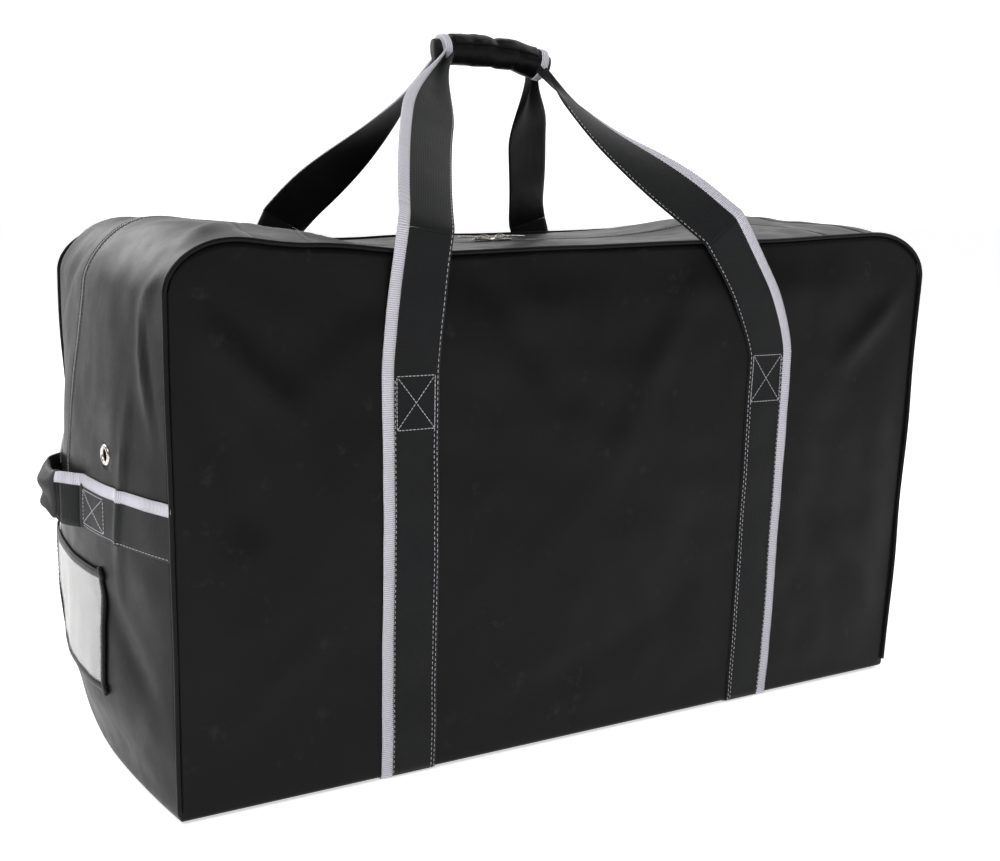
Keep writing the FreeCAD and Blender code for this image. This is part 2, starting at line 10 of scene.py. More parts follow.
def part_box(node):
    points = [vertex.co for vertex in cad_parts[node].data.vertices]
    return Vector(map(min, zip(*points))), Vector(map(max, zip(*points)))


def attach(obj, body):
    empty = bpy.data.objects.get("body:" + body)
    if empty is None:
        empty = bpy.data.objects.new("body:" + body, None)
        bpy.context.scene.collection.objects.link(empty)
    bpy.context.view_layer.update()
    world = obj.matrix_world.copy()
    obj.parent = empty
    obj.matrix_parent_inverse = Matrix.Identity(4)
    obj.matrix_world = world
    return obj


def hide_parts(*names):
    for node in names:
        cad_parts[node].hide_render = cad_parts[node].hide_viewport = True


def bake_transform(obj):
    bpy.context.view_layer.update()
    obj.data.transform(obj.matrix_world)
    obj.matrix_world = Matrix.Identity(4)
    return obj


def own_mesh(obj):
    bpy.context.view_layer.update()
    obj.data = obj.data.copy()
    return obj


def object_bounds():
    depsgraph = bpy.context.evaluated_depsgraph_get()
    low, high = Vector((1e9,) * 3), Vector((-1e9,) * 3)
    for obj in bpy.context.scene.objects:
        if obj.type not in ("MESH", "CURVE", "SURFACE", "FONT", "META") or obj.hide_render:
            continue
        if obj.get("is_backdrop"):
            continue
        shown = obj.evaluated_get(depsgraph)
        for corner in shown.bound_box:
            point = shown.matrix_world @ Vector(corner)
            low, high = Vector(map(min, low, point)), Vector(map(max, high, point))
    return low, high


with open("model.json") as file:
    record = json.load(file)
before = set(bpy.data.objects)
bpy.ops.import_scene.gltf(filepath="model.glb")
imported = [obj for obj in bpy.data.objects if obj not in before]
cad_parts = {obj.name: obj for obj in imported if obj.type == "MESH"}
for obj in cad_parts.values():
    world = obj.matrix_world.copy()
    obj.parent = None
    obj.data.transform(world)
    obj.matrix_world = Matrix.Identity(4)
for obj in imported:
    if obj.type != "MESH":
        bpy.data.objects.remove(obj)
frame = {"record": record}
CAD_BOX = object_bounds()

bl_info = {
    "name": "Hockey Equipment Bag",
    "version": (1, 0, 0),
    "blender": (4, 5, 0),
    "location": "View3D > Sidebar > Hockey Bag",
    "description": "Vinyl skin, webbing, zip and trim for a hockey equipment bag, built on its packed frame",
    "category": "Object",
}

# ---------------------------------------------------------------- places, all read from the frame
MM = 0.001


def box_of(node):
    """A node's lowest and highest corners."""
    return [Vector(corner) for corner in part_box(node)]


PANEL_LOW, PANEL_HIGH = box_of("front_panel")
STRAP_LOW, STRAP_HIGH = box_of("right_front_strap")
BUNDLE_LOW, BUNDLE_HIGH = box_of("strap_bundle")
END_STRAP_LOW, END_STRAP_HIGH = box_of("left_end_handle")
WINDOW_LOW, WINDOW_HIGH = box_of("card_window_binding")

HALF_LENGTH = PANEL_HIGH.x
SEAM_Y = -PANEL_HIGH.y
TOP = PANEL_HIGH.z
FOOT = PANEL_LOW.z
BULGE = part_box("bottom_panel")[1][0] - HALF_LENGTH
FLAP_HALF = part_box("front_top_flap")[1][0]
# Sewing draws the webbing's outer edge in a little from the flat strap's.
STRAP_DRAW = 3 * MM
STRAP_X = (STRAP_LOW.x + STRAP_HIGH.x - STRAP_DRAW) / 2
STRAP_HALF = (STRAP_HIGH.x - STRAP_LOW.x - STRAP_DRAW) / 2
GRIP_Z = (BUNDLE_LOW.z + BUNDLE_HIGH.z) / 2
GRIP_HALF = BUNDLE_HIGH.x
END_STRAP_Z = (END_STRAP_LOW.z + END_STRAP_HIGH.z) / 2 - 4.5 * MM
ZIP_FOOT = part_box("zip_bottom_stops")[0][2]
LEFT, RIGHT = -1, 1
FRONT, BACK = -1, 1
SIDE = {LEFT: "left", RIGHT: "right"}
FACE = {FRONT: "front", BACK: "back"}
JOINTS = {joint["name"]: joint for joint in frame["record"]["behaviour"]["joints"]}
DROP = max(JOINTS["carry_handle_drop"]["range_m"])


def size(name, default_mm, description):
    """A length property in metres whose default is given in millimetres."""
    return FloatProperty(name=name, description=description, default=default_mm * MM, unit="LENGTH",
                         precision=4)


def colour(name, default, description):
    return StringProperty(name=name, description=description, default=default)


class BagShape(bpy.types.PropertyGroup):
    """Sizes of the skin that the frame does not settle."""
    corner: size("Corner height", 50, "Height of the rounded top corners")
    corner_run: size("Corner run", 78, "Length of the rounded top corners along the bag")
    top_sag: size("Top sag", 17.5, "How far the front top seam hangs at its lowest")
    skin: size("Skin", 1.1, "Thickness of the coated cloth")
    cushion: size("Soft dents", 4.0, "Depth of the broad soft dents in the skin")
    ripple: size("Ripples", 1.3, "Depth of the small ripples in the skin")
    toe_in: size("Right toe-in", 20, "How far the right end stands in at the floor")
    back_in: size("Back left corner", 9, "How far the left end stands in at its back seam")
    piping: size("Piping", 2.2, "Radius of the piping along the seams")


class BagTrim(bpy.types.PropertyGroup):
    """Sizes of webbing, tape and thread."""
    webbing: size("Webbing", 1.6, "Thickness of the strap webbing")
    tape: size("Edge tape", 10.5, "Width of the ribbed edge tape")
    rib: size("Rib", 2.0, "Spacing of the tape's cross ribs, drawn coarser than real so that they show")
    stitch: size("Stitch", 3.4, "Length of one stitch")
    stitch_pitch: size("Stitch pitch", 5.2, "Distance from one stitch to the next")
    thread: size("Thread", 0.36, "Radius of the sewing thread")
    tooth: size("Zip tooth", 1.9, "Distance from one zip tooth to the next")


class BagColours(bpy.types.PropertyGroup):
    """Colours as sRGB hex values."""
    vinyl: colour("Vinyl", "0b0b0c", "Coated cloth of the skin")
    backing: colour("Backing", "4a4b4d", "Woven backing inside the skin")
    webbing: colour("Webbing", "090b0d", "Straps")
    tape: colour("Edge tape", "d6d3dd", "Ribbed edge tape and bindings")
    thread: colour("Thread", "b9b9bf", "Sewing thread")
    zip: colour("Zip", "141416", "Zip tape and coil")
    wrap: colour("Wrap", "2b2b2d", "End handle wrap")
    # The card is set to a mid grey rather than the white of the board: a painted shade over the whole card
    card: colour("Card", "a3a3a2", "Name card")
    floor: colour("Floor", "f4f4f4", "Floor and backdrop")


def shape():
    return bpy.context.scene.bag_shape


def trim():
    return bpy.context.scene.bag_trim


def hues():
    return bpy.context.scene.bag_colours


# ---------------------------------------------------------------- the skin's shape
def smooth(value, low, high):
    share = min(1.0, max(0.0, (value - low) / (high - low)))
    return share * share * (3 - 2 * share)


def half_depth(z):
    """Half the bag's depth at a height: it spreads a little towards the top."""
    return SEAM_Y - 0.004 * (1 - z / TOP)


TUCK = 5 * MM


def tuck(z):
    """How far the skin has turned under near the floor, and the sine of its turn."""
    low = min(1.0, max(0.0, 1 - (z - FOOT) / TUCK))
    return TUCK * (1 - math.sqrt(1 - low * low)), low


def toe(x, y, z):
    """The bag's skew: the right end stands in towards the floor, and the left end stands in at the back."""
    right = -shape().toe_in * max(0.0, x / HALF_LENGTH) * min(1.0, max(0.0, 1 - z / TOP)) ** 1.3
    return right + shape().back_in * max(0.0, -x / HALF_LENGTH) * smooth(y / SEAM_Y, -0.3, 1.0)


def bulge(z):
    """The end's outward bulge at mid depth: fullest low down, slack near the top corner."""
    slack = 1.12 - 0.75 * smooth(z, 0.55 * TOP, TOP)
    return BULGE * slack * (0.42 + 0.58 * smooth(z, 0.0, 0.2 * TOP))


def wobble(place, depth, seed):
    """A smooth random height, repeatable, for soft dents and ripples."""
    return depth * noise.noise(place + Vector((seed, 3.1 * seed, -seed)))


# Each fold: start and end on the skin as (length along the U in metres, depth share), height, half width.
FOLDS = (
    ((0.505, -0.96), (0.445, -0.76), 0.0042, 0.016),
    ((0.445, -0.76), (0.350, -0.90), 0.0034, 0.017),
    ((0.420, -0.82), (0.325, -0.96), -0.0026, 0.016),
    ((0.360, -0.70), (0.200, -0.60), 0.0030, 0.020),
    ((0.520, -0.92), (0.600, -0.55), 0.0045, 0.014),
    ((0.560, -0.60), (0.500, -0.12), 0.0035, 0.016),
    ((0.600, -0.55), (0.690, -0.93), 0.0030, 0.014),
    ((0.480, 0.90), (0.560, 0.45), 0.0045, 0.014),
    ((0.500, 0.20), (0.420, 0.75), -0.0035, 0.016),
    ((0.100, -0.90), (0.190, -0.40), -0.0030, 0.018),
    ((1.410, -0.90), (1.330, -0.45), 0.0050, 0.014),
    ((1.400, 0.90), (1.460, 0.40), 0.0050, 0.013),
    ((1.250, -0.85), (1.300, -0.20), -0.0035, 0.016),
    ((0.860, -0.80), (0.980, -0.30), -0.0030, 0.020),
)
# The same on the front and back faces: start and end as (x, z), height, half width.
FACE_FOLDS = (
    ((-0.43, 0.47), (-0.33, 0.36), 0.0030, 0.014),
    ((-0.42, 0.40), (-0.36, 0.24), -0.0030, 0.020),
    ((-0.15, 0.50), (-0.05, 0.36), -0.0028, 0.022),
    ((0.12, 0.49), (0.02, 0.30), 0.0026, 0.020),
    ((0.42, 0.46), (0.33, 0.38), 0.0032, 0.013),
    ((0.41, 0.10), (0.31, 0.20), 0.0030, 0.018),
    ((-0.42, 0.06), (-0.30, 0.16), 0.0028, 0.018),
    ((-0.10, 0.05), (0.08, 0.12), -0.0026, 0.022),
)


def fold_height(folds, x, y):
    """Total height of the soft creases near a point of the flat skin."""
    total = 0.0
    for start, end, height, width in folds:
        run_x, run_y = end[0] - start[0], end[1] - start[1]
        length_squared = run_x * run_x + run_y * run_y
        along = ((x - start[0]) * run_x + (y - start[1]) * run_y) / length_squared
        along = min(1.0, max(0.0, along))
        gap = math.hypot(x - start[0] - along * run_x, y - start[1] - along * run_y)
        total += height * math.exp(-(gap / width) ** 2) * math.sin(math.pi * (0.12 + 0.76 * along))
    return total


def side_run():
    """Lengths of the U: up to the corner, round it, and along the top."""
    corner, corner_run = shape().corner, shape().corner_run
    upright = TOP - FOOT - corner
    bend = math.hypot(corner, corner_run) * math.pi / 2 / math.sqrt(2)
    across = 2 * (HALF_LENGTH - corner_run)
    return upright, bend, across


# The top seams' hang, as a share of the top sag, at places along the bag.
HANG = {FRONT: ((-0.42, 0.0), (-0.31, 0.55), (-0.18, 1.0), (-0.035, 0.66), (0.185, 0.43), (0.38, 0.0)),
        BACK: ((-0.42, 0.0), (-0.34, 0.5), (-0.19, 0.8), (-0.11, 1.0), (0.08, 0.6), (0.22, 0.46),
               (0.40, 0.0))}


def hang(face, x):
    """How far one top seam hangs below the corners at a place along the bag."""
    spots = HANG[face]
    for (low, first), (high, second) in zip(spots, spots[1:]):
        if low <= x <= high:
            return shape().top_sag * (first + (second - first) * smooth(x, low, high))
    return 0.0


def run_length():
    upright, bend, across = side_run()
    return 2 * upright + 2 * bend + across


def run_at_height(side, z):
    """Length along the U at a height on one end."""
    length = z - FOOT
    return length if side < 0 else run_length() - length


def run_at_x(x):
    """Length along the U at a place on the top."""
    upright, bend, across = side_run()
    return upright + bend + (x + HALF_LENGTH - shape().corner_run)


def u_point(run, depth):
    """A point of the gusset skin, and its outward direction, before any dents."""
    upright, bend, across = side_run()
    corner, corner_run = shape().corner, shape().corner_run
    length = min(run, run_length() - run)
    side = LEFT if run < run_length() / 2 else RIGHT
    if length < upright:
        x, z, normal = HALF_LENGTH, FOOT + length, Vector((1, 0, 0))
    elif length < upright + bend:
        angle = (length - upright) / bend * math.pi / 2
        x = HALF_LENGTH - corner_run + corner_run * math.cos(angle)
        z = TOP - corner + corner * math.sin(angle)
        normal = Vector((corner * math.cos(angle), 0, corner_run * math.sin(angle))).normalized()
    else:
        x = HALF_LENGTH - corner_run - (length - upright - bend)
        z, normal = TOP, Vector((0, 0, 1))
    crown = 1 - depth * depth
    x += bulge(z) * crown * normal.x
    back_share = 0.5 + 0.5 * depth
    sag = hang(FRONT, side * x) * (1 - back_share) + hang(BACK, side * x) * back_share
    # away from the middle the top stands proud between its seams
    proud = 18 * MM * smooth(x, 0.13, 0.34) * crown
    z += (proud - sag) * normal.z ** 2
    normal.x *= side
    lean = 2 * depth * bulge(z) / SEAM_Y * abs(normal.x)
    inset, turned = tuck(z)
    normal = (normal + Vector((0, lean, -turned))).normalized()
    point = Vector((side * (x - inset), depth * (half_depth(z) - inset), z))
    point.x += toe(point.x, point.y, point.z)
    return point, normal


def seam_shift(run, face):
    """The seams' own slight waviness, shared by everything sewn into them."""
    place = Vector((run * 9, face * 4.0, 0))
    return wobble(place, 0.0022, 7.0)


def gusset_point(run, depth, lift=0.0):
    """A point of the dented gusset skin, lifted off it along its outward direction."""
    point, normal = u_point(run, depth)
    near_seam = 1 - smooth(abs(depth), 0.80, 1.0)
    near_foot = smooth(min(run, run_length() - run), 0.0, 0.05)
    zip_flat = 1 - 0.75 * math.exp(-(depth / 0.10) ** 2)
    calm = near_seam * near_foot
    place = Vector((run, depth * SEAM_Y, 0))
    height = wobble(place * 9, shape().cushion, 1.0) + wobble(place * 27, shape().ripple, 2.0)
    height += fold_height(FOLDS, run, depth) if calm > 0 else 0.0
    height *= calm * zip_flat
    cinch = math.exp(-((point.z - 1.22 * END_STRAP_Z) / 0.055) ** 2) * smooth(depth, -0.3, 0.5)
    height -= 8 * MM * cinch * abs(normal.x) ** 4 * (1 - smooth(abs(depth), 0.85, 1.0) * 0.6)
    height += seam_shift(run, FRONT if depth < 0 else BACK) * smooth(abs(depth), 0.5, 1.0)
    return point + normal * (height + lift), normal


def edge_height(face, x):
    """Height of a top seam above a place along the bag."""
    corner, corner_run = shape().corner, shape().corner_run
    over = max(0.0, min(abs(x), HALF_LENGTH) - (HALF_LENGTH - corner_run)) / corner_run
    rise = math.sqrt(max(0.0, 1 - over * over))
    upward = corner_run * rise / math.hypot(corner_run * rise, corner * over)
    return TOP - corner + corner * rise - hang(face, x) * upward ** 2


def face_point(face, x, z, lift=0.0):
    """A point of the front or back skin at a place on it, lifted off it outwards."""
    top = edge_height(face, x)
    border = min(HALF_LENGTH - abs(x), top - z)
    inside = smooth(border, 0.0, 0.06)
    place = Vector((x, face * 2.0, z))
    height = wobble(place * 7, shape().cushion, 4.0) + wobble(place * 24, shape().ripple, 5.0)
    height += fold_height(FACE_FOLDS, x * -face, z)
    height *= inside * smooth(z, 0.0, 0.06)
    height += 0.004 * inside * math.sin(math.pi * min(1.0, z / TOP))
    inset, turned = tuck(z)
    upright = math.sqrt(1 - turned * turned)
    y = half_depth(z) - inset + (height + lift) * upright
    z -= lift * turned
    x -= math.copysign(inset * smooth(abs(x), HALF_LENGTH - 0.06, HALF_LENGTH), x)
    return Vector((x + toe(x, face * y, z), face * y, z))


# ---------------------------------------------------------------- mesh makers
def make_object(name, points, faces, cloth=None):
    """A smooth mesh; cloth gives each point its place on the flat cloth in metres, for weave and ribs."""
    mesh = bpy.data.meshes.new(name)
    mesh.from_pydata([tuple(point) for point in points], [], faces)
    layer = mesh.uv_layers.new(name="cloth")
    if cloth:
        for loop in mesh.loops:
            layer.data[loop.index].uv = cloth[loop.vertex_index]
    mesh.polygons.foreach_set("use_smooth", [True] * len(mesh.polygons))
    mesh.update()
    piece = bpy.data.objects.new(name, mesh)
    bpy.context.scene.collection.objects.link(piece)
    return piece


def grid(name, rows, cloth=None, closed=False, caps=False):
    """A sheet from rows of points; closed joins each row's ends, caps fills the first and last row."""
    width = len(rows[0])
    points = [point for row in rows for point in row]
    flat = [place for row in cloth for place in row] if cloth else None
    faces = []
    for i in range(len(rows) - 1):
        for j in range(width if closed else width - 1):
            a, b = i * width + j, i * width + (j + 1) % width
            faces.append((a, b, b + width, a + width))
    if caps:
        last = (len(rows) - 1) * width
        faces.append(tuple(reversed(range(width))))
        faces.append(tuple(range(last, last + width)))
    return make_object(name, points, faces, flat)


def bake(piece):
    """Apply a piece's modifiers into its mesh."""
    graph = bpy.context.evaluated_depsgraph_get()
    mesh = bpy.data.meshes.new_from_object(piece.evaluated_get(graph))
    piece.modifiers.clear()
    piece.data = mesh
    return piece


def thicken(piece, thickness):
    """Give a sheet its thickness, inwards, with the backing's material inside."""
    solid = piece.modifiers.new("thickness", "SOLIDIFY")
    solid.thickness = thickness
    solid.offset = -1
    solid.material_offset = 1
    return bake(piece)


def join(name, pieces):
    """Several meshes as one piece."""
    first = pieces[0]
    with bpy.context.temp_override(active_object=first, object=first, selected_editable_objects=pieces,
                                   selected_objects=pieces):
        bpy.ops.object.join()
    first.name = name
    first.data.name = name
    return first


def steps(low, high, spacing):
    """Evenly spaced values from low to high, both kept."""
    count = max(2, int(math.ceil(abs(high - low) / spacing)) + 1)
    return [low + (high - low) * i / (count - 1) for i in range(count)]


def ribbon(name, stations, place, low, high, lift, thickness, columns=7, wave=0.0, rib=0.0):
    """A closed flat strip laid by place(station, across, lift), with serrated edges and cross ribs if
    asked."""
    rows, cloth = [], []
    travelled = 0.0
    middle = (low + high) / 2
    for number, station in enumerate(stations):
        if number:
            travelled += (place(station, middle, lift) - place(stations[number - 1], middle, lift)).length
        tooth = wave if number % 2 else -wave
        ridge = rib if number % 2 else 0.0
        shares = [i / (columns - 1) for i in range(columns)]
        row, flat = [], []
        for share in shares:
            row.append(place(station, low + (high - low) * share, lift))
            flat.append((low + (high - low) * share, travelled))
        for share in reversed(shares):
            side = 1 if share == 1.0 else -1 if share == 0.0 else 0
            at = low + (high - low) * share + side * tooth
            drop = 0.3 * thickness if side else 0.0
            row.append(place(station, at, lift + thickness - drop + ridge))
            flat.append((at, travelled))
        rows.append(row)
        cloth.append(flat)
    return grid(name, rows, cloth, closed=True, caps=True)


def frames_on(centres, across):
    """Frames along points, carried with least twist from a first across direction."""
    frames = []
    count = len(centres)
    for number, centre in enumerate(centres):
        ahead = (centres[min(number + 1, count - 1)] - centres[max(number - 1, 0)]).normalized()
        across = (across - ahead * across.dot(ahead)).normalized()
        frames.append((centre, across, ahead.cross(across).normalized()))
    return frames


def tube(name, centres, radius, sides=12, squeeze=1.0, first_across=None):
    """A cord along points, its radius a number or a function of (share along, angle)."""
    ahead = (centres[1] - centres[0]).normalized()
    frames = frames_on(centres, first_across or ahead.orthogonal())
    rows, cloth = [], []
    travelled = 0.0
    for number, (centre, across, outward) in enumerate(frames):
        if number:
            travelled += (centre - centres[number - 1]).length
        row, flat = [], []
        for i in range(sides):
            angle = 2 * math.pi * i / sides
            reach = radius(number / (len(frames) - 1), angle) if callable(radius) else radius
            row.append(centre + across * reach * math.cos(angle)
                       + outward * reach * squeeze * math.sin(angle))
            flat.append((reach * angle, travelled))
        rows.append(row)
        cloth.append(flat)
    return grid(name, rows, cloth, closed=True, caps=True)


def stitch_row(name, stations, place, across, lift, pitch=None, length=None, radius=None):
    """A row of stitches, each a short thread that dips into the cloth at both ends."""
    pitch = pitch or trim().stitch_pitch
    length = length or trim().stitch
    radius = radius or trim().thread
    line = [place(station, across, lift) for station in stations]
    outs = [(place(station, across, lift + MM) - point).normalized() for station,
            point in zip(stations, line)]
    travelled = [0.0]
    for first, second in zip(line, line[1:]):
        travelled.append(travelled[-1] + (second - first).length)

    def at_distance(distance):
        distance = min(max(distance, 0.0), travelled[-1])
        index = 0
        while index < len(travelled) - 2 and travelled[index + 1] < distance:
            index += 1
        span = travelled[index + 1] - travelled[index]
        share = (distance - travelled[index]) / span if span else 0.0
        return line[index].lerp(line[index + 1], share), outs[index].lerp(outs[index + 1], share).normalized()

    points, faces = [], []
    sides = 6
    sections = ((-0.5, 0.35, -0.9), (-0.36, 1.0, 0.0), (0.0, 1.15, 0.4), (0.36, 1.0, 0.0), (0.5, 0.35, -0.9))
    for number in range(max(1, int(travelled[-1] / pitch))):
        middle = (number + 0.5) * pitch
        ahead = (at_distance(middle + length / 2)[0] - at_distance(middle - length / 2)[0]).normalized()
        start = len(points)
        for share, fat, rise in sections:
            point, outward = at_distance(middle + share * length)
            sideways = ahead.cross(outward).normalized()
            for i in range(sides):
                angle = 2 * math.pi * i / sides
                points.append(point + sideways * radius * fat * math.cos(angle)
                              + outward * radius * (fat * math.sin(angle) + rise))
        for ring in range(len(sections) - 1):
            for i in range(sides):
                a = start + ring * sides + i
                b = start + ring * sides + (i + 1) % sides
                faces.append((a, b, b + sides, a + sides))
        last = start + (len(sections) - 1) * sides
        faces.append(tuple(start + i for i in reversed(range(sides))))
        faces.append(tuple(last + i for i in range(sides)))
    return make_object(name, points, faces)


def paint(piece, *materials):
    for material in materials:
        piece.data.materials.append(material)
    return piece


def settle(piece, slot, nodes=(), body=None):
    """Hide the CAD nodes a piece stands for and attach it to the body it rides on; slot is not used."""
    if nodes:
        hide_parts(*nodes)
    if body:
        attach(piece, body)
    return piece


# ---------------------------------------------------------------- materials
def linear(hex_colour):
    """An sRGB hex colour as linear RGBA."""
    parts = [int(hex_colour[i:i + 2], 16) / 255 for i in (0, 2, 4)]
    return tuple(part / 12.92 if part <= 0.04045 else ((part + 0.055) / 1.055) ** 2.4
                 for part in parts) + (1.0,)


def scaled(rgba, factor):
    return tuple(min(1.0, part * factor) for part in rgba[:3]) + (1.0,)


def put(tree, kind, inputs=None, **settings):
    """Add a node with its settings; inputs maps a socket to a value, or to the node or output that feeds it.
    Map Range takes value, from low, from high, to low, to high; Mix takes its share at 0 and colours at 6
    and 7."""
    node = tree.nodes.new("ShaderNode" + kind)
    for setting, value in settings.items():
        setattr(node, setting, value)
    for socket, value in (inputs or {}).items():
        if isinstance(value, bpy.types.Node):
            value = next(output for output in value.outputs if output.enabled)
        if isinstance(value, bpy.types.NodeSocket):
            tree.links.new(value, node.inputs[socket])
        else:
            node.inputs[socket].default_value = value
    return node


def finish(name):
    """Turn a function that makes a shader in a node tree into one that gives the material, made once."""
    def wrap(fill):
        def material():
            made = bpy.data.materials.get(name)
            if made is None:
                made = bpy.data.materials.new(name)
                made.use_nodes = True
                made.node_tree.nodes.clear()
                shader = fill(made.node_tree, put(made.node_tree, "TexCoord"))
                put(made.node_tree, "OutputMaterial", {"Surface": shader})
            return made
        return material
    return wrap


@finish("PVC coated polyester, calendered")
def coated_vinyl(tree, place):
    """PVC-coated polyester, calendered: a satin black film with a faint leather grain over the scrim's weave.
    It gives broad soft highlights, paler dust in random patches and dull rubbed patches."""
    solid = place.outputs["Object"]
    base = linear(hues().vinyl)
    cloud = put(tree, "TexNoise", {"Vector": solid, "Scale": 7.0, "Detail": 5.0, "Roughness": 0.6})
    rub = put(tree, "TexNoise", {"Vector": solid, "Scale": 38.0, "Detail": 6.0, "Roughness": 0.7})
    # the grain's pebbles are about 1 mm across, drawn at 2 mm so that they show
    grain = put(tree, "TexVoronoi", {"Vector": solid, "Scale": 1 / (2.0 * MM), "Randomness": 0.9},
                feature="SMOOTH_F1")
    # the scrim shows through as soft ridges about 6 mm apart
    scrim = put(tree, "TexNoise", {"Vector": solid, "Scale": 1 / (6.0 * MM), "Detail": 2.0})
    tone = put(tree, "MapRange", {0: cloud, 1: 0.35, 2: 0.7})
    shade = put(tree, "Mix", {0: tone, 6: scaled(base, 0.85), 7: scaled(base, 1.35)}, data_type="RGBA")
    dust = put(tree, "MapRange", {0: rub, 1: 0.60, 2: 0.78, 3: 0.0, 4: 0.35})
    shade = put(tree, "Mix", {0: dust, 6: shade, 7: linear("3a3a3c")}, data_type="RGBA")
    film = put(tree, "MapRange", {0: cloud, 1: 0.3, 2: 0.7, 3: 0.36, 4: 0.47})
    scuffs = put(tree, "MapRange", {0: rub, 1: 0.4, 2: 0.75, 3: 0.0, 4: 0.10})
    rough = put(tree, "Math", {0: film, 1: scuffs}, operation="ADD")
    bump = put(tree, "Bump", {"Height": scrim, "Strength": 0.35, "Distance": 0.25 * MM})
    bump = put(tree, "Bump", {"Height": grain, "Normal": bump, "Strength": 0.45, "Distance": 0.12 * MM})
    return put(tree, "BsdfPrincipled", {"Base Color": shade, "Roughness": rough, "Normal": bump, "IOR": 1.52,
                                        "Specular IOR Level": 0.13, "Sheen Weight": 0.01,
                                        "Sheen Roughness": 0.5})


def weave(tree, place, hex_colour, yarn_mm, rough, contrast=0.4, depth=0.22, sheen=0.25, fleck="8a8a90",
          shine=0.5):
    """Cloth woven from yarns of a given spacing: warp and weft ridges from two waves on the cloth's own
    map."""
    solid = place.outputs["Object"]
    base = linear(hex_colour)
    # one wave band spans 2 pi over its scale of 20, so a yarn spacing sets the mapping's scale
    pitch = 2 * math.pi / 20 / (yarn_mm * MM)
    spread = put(tree, "Mapping", {"Vector": place.outputs["UV"], "Scale": (pitch, pitch, 1.0)})
    warp, weft = (put(tree, "TexWave", {"Vector": spread, "Scale": 1.0, "Distortion": 0.25},
                      bands_direction=way)
                  for way in "XY")
    ridge = put(tree, "Math", {0: warp.outputs["Fac"], 1: weft.outputs["Fac"]}, operation="MULTIPLY")
    cloud = put(tree, "TexNoise", {"Vector": solid, "Scale": 22.0, "Detail": 5.0, "Roughness": 0.65})
    fuzz = put(tree, "TexNoise", {"Vector": solid, "Scale": 900.0, "Detail": 2.0})
    # the yarn crests are painted lighter and the hollows between them darker, from the same ridges that give
    # the bump: painted highlight and painted shade of the weave
    painted_yarn_light = put(tree, "MapRange", {0: ridge, 1: 0.0, 2: 0.8})
    shade = put(tree, "Mix", {0: painted_yarn_light, 6: scaled(base, 1 - contrast), 7: scaled(base, 1 + contrast)},
                data_type="RGBA")
    lint = put(tree, "MapRange", {0: cloud, 1: 0.45, 2: 0.8, 3: 0.0, 4: 0.22})
    shade = put(tree, "Mix", {0: lint, 6: shade, 7: linear(fleck)}, data_type="RGBA")
    worn = put(tree, "MapRange", {0: cloud, 1: 0.3, 2: 0.7, 3: rough - 0.06, 4: rough + 0.08})
    bump = put(tree, "Bump", {"Height": ridge, "Strength": 0.8, "Distance": depth * MM})
    bump = put(tree, "Bump", {"Height": fuzz, "Normal": bump, "Strength": 0.25, "Distance": 0.1 * MM})
    return put(tree, "BsdfPrincipled", {"Base Color": shade, "Roughness": worn, "Normal": bump, "IOR": 1.5,
                                        "Specular IOR Level": shine, "Sheen Weight": sheen,
                                        "Sheen Roughness": 0.45})


@finish("Polyester webbing, woven")
def polyester_webbing(tree, place):
    """Polyester webbing, woven flat: a bluish black with a fine grid of ridges and a soft sheen.
    The yarns are about 1 mm apart, drawn at 1.8 mm so that they show."""
    return weave(tree, place, hues().webbing, 1.8, 0.6, depth=0.3, sheen=0.08, fleck="1d2126", shine=0.22)


@finish("Polyester scrim, woven")
def coated_backing(tree, place):
    """The uncoated side of the skin: grey polyester scrim, matt and slightly hairy."""
    return weave(tree, place, hues().backing, 2.0, 0.85, contrast=0.3, sheen=0.4)


@finish("Polyester zip tape, woven")
def zip_cloth(tree, place):
    """Polyester zip tape, woven: flat black with fine lengthways ribs."""
    return weave(tree, place, hues().zip, 1.4, 0.75, sheen=0.15, fleck="3a3a3e")


@finish("Polypropylene grosgrain, woven")
def grosgrain(tree, place):
    """Polypropylene grosgrain, woven with heavy cross ribs: lavender white, ribbed right across its width.
    The ribs are drawn 2 mm apart, as the mesh's own ribs are; the hollows between them are painted darker, a
    painted shade, and random dirt is mixed over them."""
    base = linear(hues().tape)
    spread = put(tree, "Mapping", {"Vector": place.outputs["UV"],
                                   "Scale": (1.0, 2 * math.pi / 20 / trim().rib, 1.0)})
    ribs = put(tree, "TexWave", {"Vector": spread, "Scale": 1.0, "Distortion": 0.1},
               bands_direction="Y").outputs["Fac"]
    soil = put(tree, "TexNoise", {"Vector": place.outputs["Object"], "Scale": 30.0, "Detail": 6.0,
                                  "Roughness": 0.7})
    # the hollows between the ribs are painted darker: painted shade
    painted_rib_shade = put(tree, "MapRange", {0: ribs, 1: 0.05, 2: 0.6})
    shade = put(tree, "Mix", {0: painted_rib_shade, 6: scaled(base, 0.55), 7: base}, data_type="RGBA")
    dirt = put(tree, "MapRange", {0: soil, 1: 0.5, 2: 0.85, 3: 0.0, 4: 0.3})
    shade = put(tree, "Mix", {0: dirt, 6: shade, 7: linear("a7a4a2")}, data_type="RGBA")
    bump = put(tree, "Bump", {"Height": ribs, "Strength": 0.8, "Distance": 0.4 * MM})
    return put(tree, "BsdfPrincipled", {"Base Color": shade, "Roughness": 0.62, "Normal": bump, "IOR": 1.49,
                                        "Sheen Weight": 0.25, "Sheen Roughness": 0.4})


